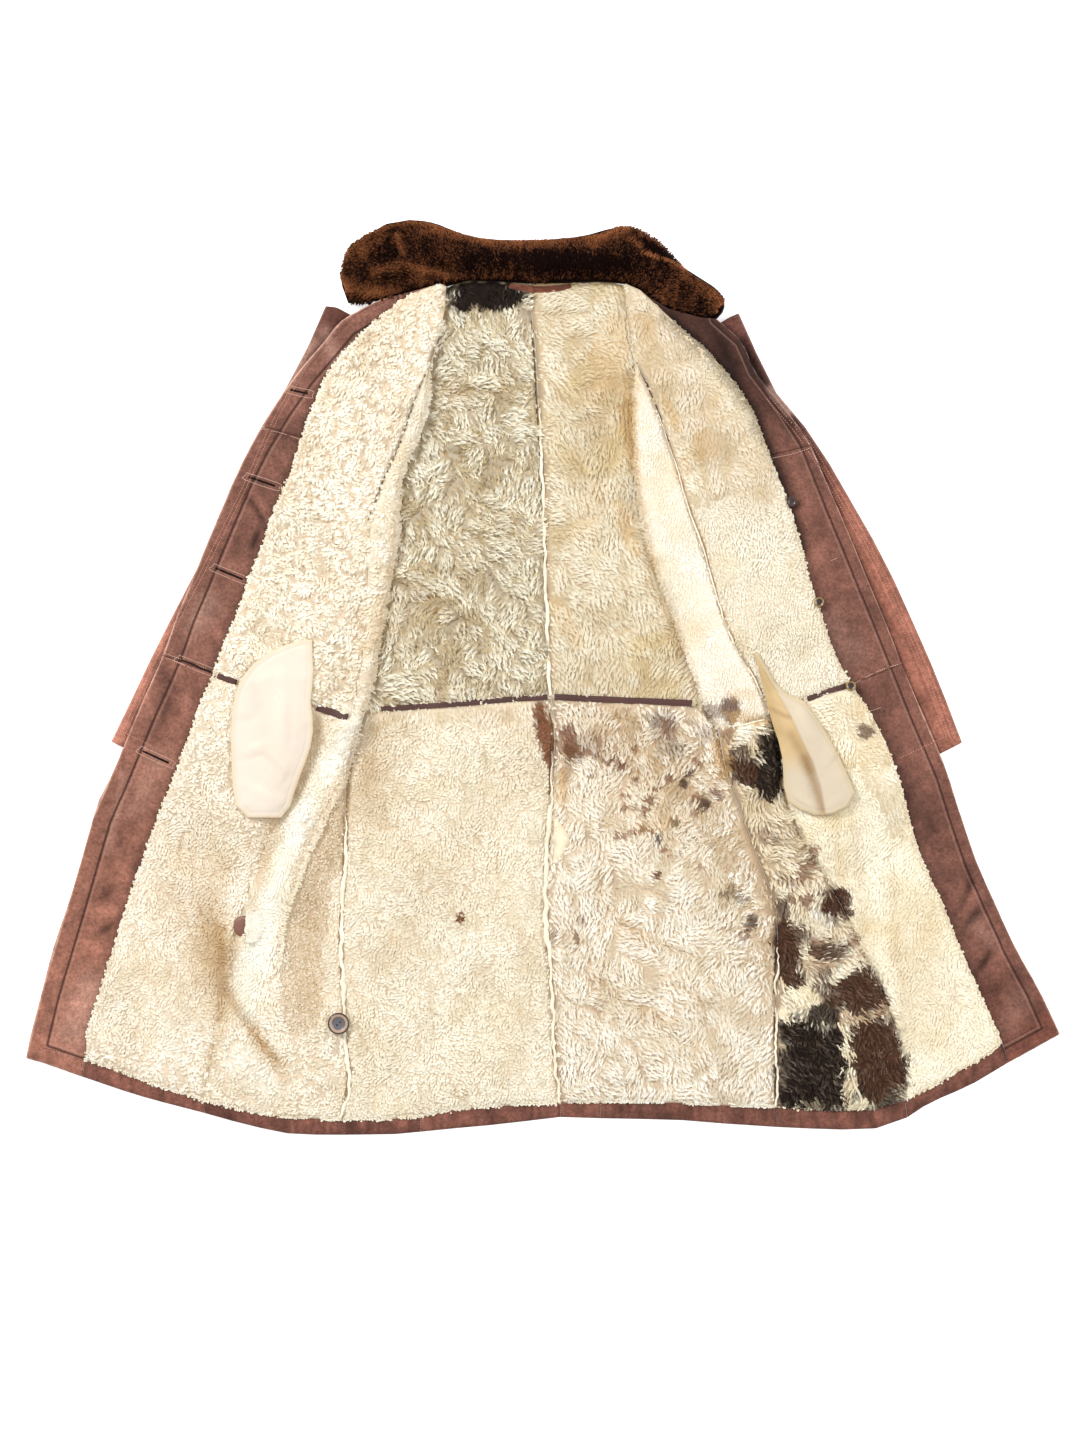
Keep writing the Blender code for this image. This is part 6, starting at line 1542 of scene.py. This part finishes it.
# %% [markdown]
# ## Sleeves' topstitching
# Three rows of stitching run down the right sleeve near its outer edge and two down the left, with one row
# round each cuff. The arm is mostly under the front, so only what the light reaches is sewn.
# %% Sleeve stitching
SLEEVE_OUT_R = [(268, 328), (310, 277), (353, 205), (392, 136), (424, 67), (454, -2), (478, -66)]
SLEEVE_OUT_L = [(-279, 363), (-316, 297), (-353, 216), (-394, 133), (-440, 44), (-473, -25), (-490, -62)]
sleeve_runs = [(beside(SLEEVE_OUT_R, -far), 3.2, 2.6, 0.7, 0.1) for far in (7, 11, 15)]
sleeve_runs += [(beside(SLEEVE_OUT_L, far), 3.2, 2.6, 0.7, 0.1) for far in (7, 11)]
sleeve_runs += [([(474, -62), (440, -78), (410, -92)], 3.2, 2.6, 0.7, 0.1),
                ([(-488, -60), (-470, -68), (-450, -78)], 3.2, 2.6, 0.7, 0.1)]
sleeve_stitches = stitches("sleeve_stitches", sleeve_runs, linear("#d79a86"))

# %% [markdown]
# ## Buttons
# A coat button is turned: a rounded rim, a paler ring and a dished middle with holes. Its profile is spun
# round the middle with bmesh, the way a lathe cuts it.
# %% Buttons
def turned(name, x, y, z, profile, mats, bands=(), tilt=(0, 0)):
    """profile: (radius, height) from the underside's middle, out and up to the top's middle, in mm.
    bands: which material a face has, by the radius that it is within and the height that it is above."""
    bm = bmesh.new()
    verts = [bm.verts.new((r * MM, 0, h * MM)) for r, h in profile]
    for a, b in zip(verts, verts[1:]):
        bm.edges.new((a, b))
    bmesh.ops.spin(bm, geom=bm.verts[:] + bm.edges[:], cent=(0, 0, 0), axis=(0, 0, 1), dvec=(0, 0, 0),
                   angle=2 * math.pi, steps=40, use_merge=True, use_duplicate=False)
    bmesh.ops.remove_doubles(bm, verts=bm.verts, dist=1e-6)
    bmesh.ops.recalc_face_normals(bm, faces=bm.faces)
    for f in bm.faces:
        c = f.calc_center_median()
        r = math.hypot(c.x, c.y) / MM
        f.material_index = next((i for i, (far, low) in enumerate(bands) if r < far and c.z / MM > low), 0)
    for v in bm.verts:
        v.co.z += v.co.x * tilt[0] + v.co.y * tilt[1]
        v.co += Vector((x * MM, y * MM, z * MM))
    return finish_mesh(bm, name, mats)


def plain(name, code, rough, metal=0.0, coat=0.0):
    mat, tree, shader = material(name, {"Roughness": rough, "Metallic": metal, "Coat Weight": coat})
    place = add(tree, "ShaderNodeTexCoord")
    cloudy = add(tree, "ShaderNodeTexNoise", {"Vector": place.outputs["Object"], "Scale": 380.0,
                                              "Detail": 4.0})
    ramp = add(tree, "ShaderNodeMix", {0: cloudy.outputs["Fac"], 6: (*(linear(code) * 0.7), 1),
                                       7: (*(linear(code) * 1.3), 1)}, data_type="RGBA")
    tree.links.new(ramp.outputs[2], shader.inputs["Base Color"])
    return mat


horn = plain("polished horn, dark", "#3b2723", 0.3, coat=0.3)
ring = plain("horn, pale ring", "#a98f7d", 0.4)
dish = plain("horn, grey dish", "#5c5c60", 0.35, coat=0.3)
hollow = plain("shadowed hole", "#0d0a0a", 0.9)
brass = plain("brass, tarnished", "#8f7950", 0.45, metal=0.6)


def holed(name, x, y, z, radius, where, mat):
    """Flat near-black discs laid just over a button's face at its holes: painted shade of the holes."""
    bm = bmesh.new()
    for dx, dy in where:
        made = bmesh.ops.create_circle(bm, cap_ends=True, segments=12, radius=radius * MM)
        for v in made["verts"]:
            v.co += Vector(((x + dx) * MM, (y + dy) * MM, (z + 0.05) * MM))
    return finish_mesh(bm, name, [mat], smooth=False)


RIMMED = [(0, 0), (11.4, 0), (12.5, 1.2), (12.5, 2.6), (11.6, 3.8), (10.6, 4.1), (9.8, 3.8), (9.0, 3.9),
          (8.3, 3.6), (7.6, 2.7), (6.5, 2.2), (3.0, 1.9), (0, 1.8)]
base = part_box("hem_button")[0].z / MM
BUTTON_X, BUTTON_Y = -234.6, -397.3
button = turned("hem_button_turned", BUTTON_X, BUTTON_Y, base, RIMMED, [horn, ring, dish])
for f in button.data.polygons:
    r = math.hypot(f.center.x / MM - BUTTON_X, f.center.y / MM - BUTTON_Y)
    f.material_index = 2 if r < 7.7 and f.normal.z > 0 else 1 if r < 10.4 and f.normal.z > 0 else 0
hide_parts("hem_button")
holed("hem_button_holes", BUTTON_X, BUTTON_Y, base + 2.15, 1.0, [(-1.9, -1.6), (1.9, 1.6)], hollow)
stitches("hem_button_thread", [([(-237.2, -399.5), (-232.0, -395.1)], 2.6, 4.2, 1.1, 0.0)], linear("#15100f"))
RAISED = [(0, 0), (11.4, 0), (12.5, 1.2), (12.5, 2.8), (11.2, 3.9), (8.0, 4.2), (0, 4.3)]
brown_button = turned("wool_button_turned", -342.7, -285.8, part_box("wool_button")[0].z / MM, RAISED,
                      [plain("brown button", "#7a5244", 0.5)], tilt=(0.10, 0.0))
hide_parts("wool_button")
STAY = [(0, 0), (5.2, 0), (5.8, 0.7), (5.8, 1.7), (5.2, 2.4), (4.4, 2.5), (3.8, 1.9), (2.0, 1.7), (0, 1.7)]
stay_dark = plain("stay button, dark", "#3a2a27", 0.65)
for node, x, y, mat in (("stay_button_2", 284.5, 201, stay_dark), ("stay_button_3", 316, 86, brass),
                        ("stay_button_4", 352, -10, brass)):
    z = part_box(node)[0].z / MM
    made = turned(node + "_turned", x, y, z, STAY, [mat, horn], [(0, 9), (2.9, 1.4)])
    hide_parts(node)
    holed(node + "_holes", x, y, z + 1.75, 0.75, [(-1.3, -0.9), (1.3, 0.9)], hollow)
for k in range(1, 6):
    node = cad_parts[f"coat_button_{k}"]
    node.data.materials.clear()
    node.data.materials.append(horn)


# %% [markdown]
# ## Light and floor
# Plain studio light: a white table that glows a little, a broad soft light on the right, a stronger one from
# the upper left that gives the locks their shadows, and a white surround.
# %% Light and floor
floor_mesh = bpy.data.meshes.new("floor")
bm = bmesh.new()
bmesh.ops.create_grid(bm, x_segments=2, y_segments=2, size=14.0)
bm.to_mesh(floor_mesh)
bm.free()
paper = {"Base Color": (0.93, 0.93, 0.93, 1), "Roughness": 0.9, "Emission Color": (1, 1, 1, 1),
         "Emission Strength": 0.65}
floor_mesh.materials.append(material("white acrylic table, lit from below", paper)[0])
floor = bpy.data.objects.new("floor", floor_mesh)
floor.location = (0, 0, -0.0004)
bpy.context.scene.collection.objects.link(floor)


def lamp(name, place, aim, size, power, colour):
    data = bpy.data.lights.new(name, "AREA")
    data.shape, data.size, data.energy, data.color = "DISK", size, power, colour
    obj = bpy.data.objects.new(name, data)
    obj.location = place
    obj.rotation_mode = "QUATERNION"
    obj.rotation_quaternion = (Vector(aim) - Vector(place)).to_track_quat("-Z", "Y")
    bpy.context.scene.collection.objects.link(obj)


lamp("key", (-2.6, 2.4, 3.0), (0, 0, 0), 1.7, 190, (1.0, 0.98, 0.95))
lamp("fill", (2.8, 0.6, 2.6), (0, 0, 0), 1.8, 70, (1.0, 0.99, 0.97))
world = bpy.data.worlds.new("white surround")
world.use_nodes = True
world.node_tree.nodes["Background"].inputs["Color"].default_value = (1.0, 1.0, 1.0, 1)
world.node_tree.nodes["Background"].inputs["Strength"].default_value = 0.62
bpy.context.scene.world = world
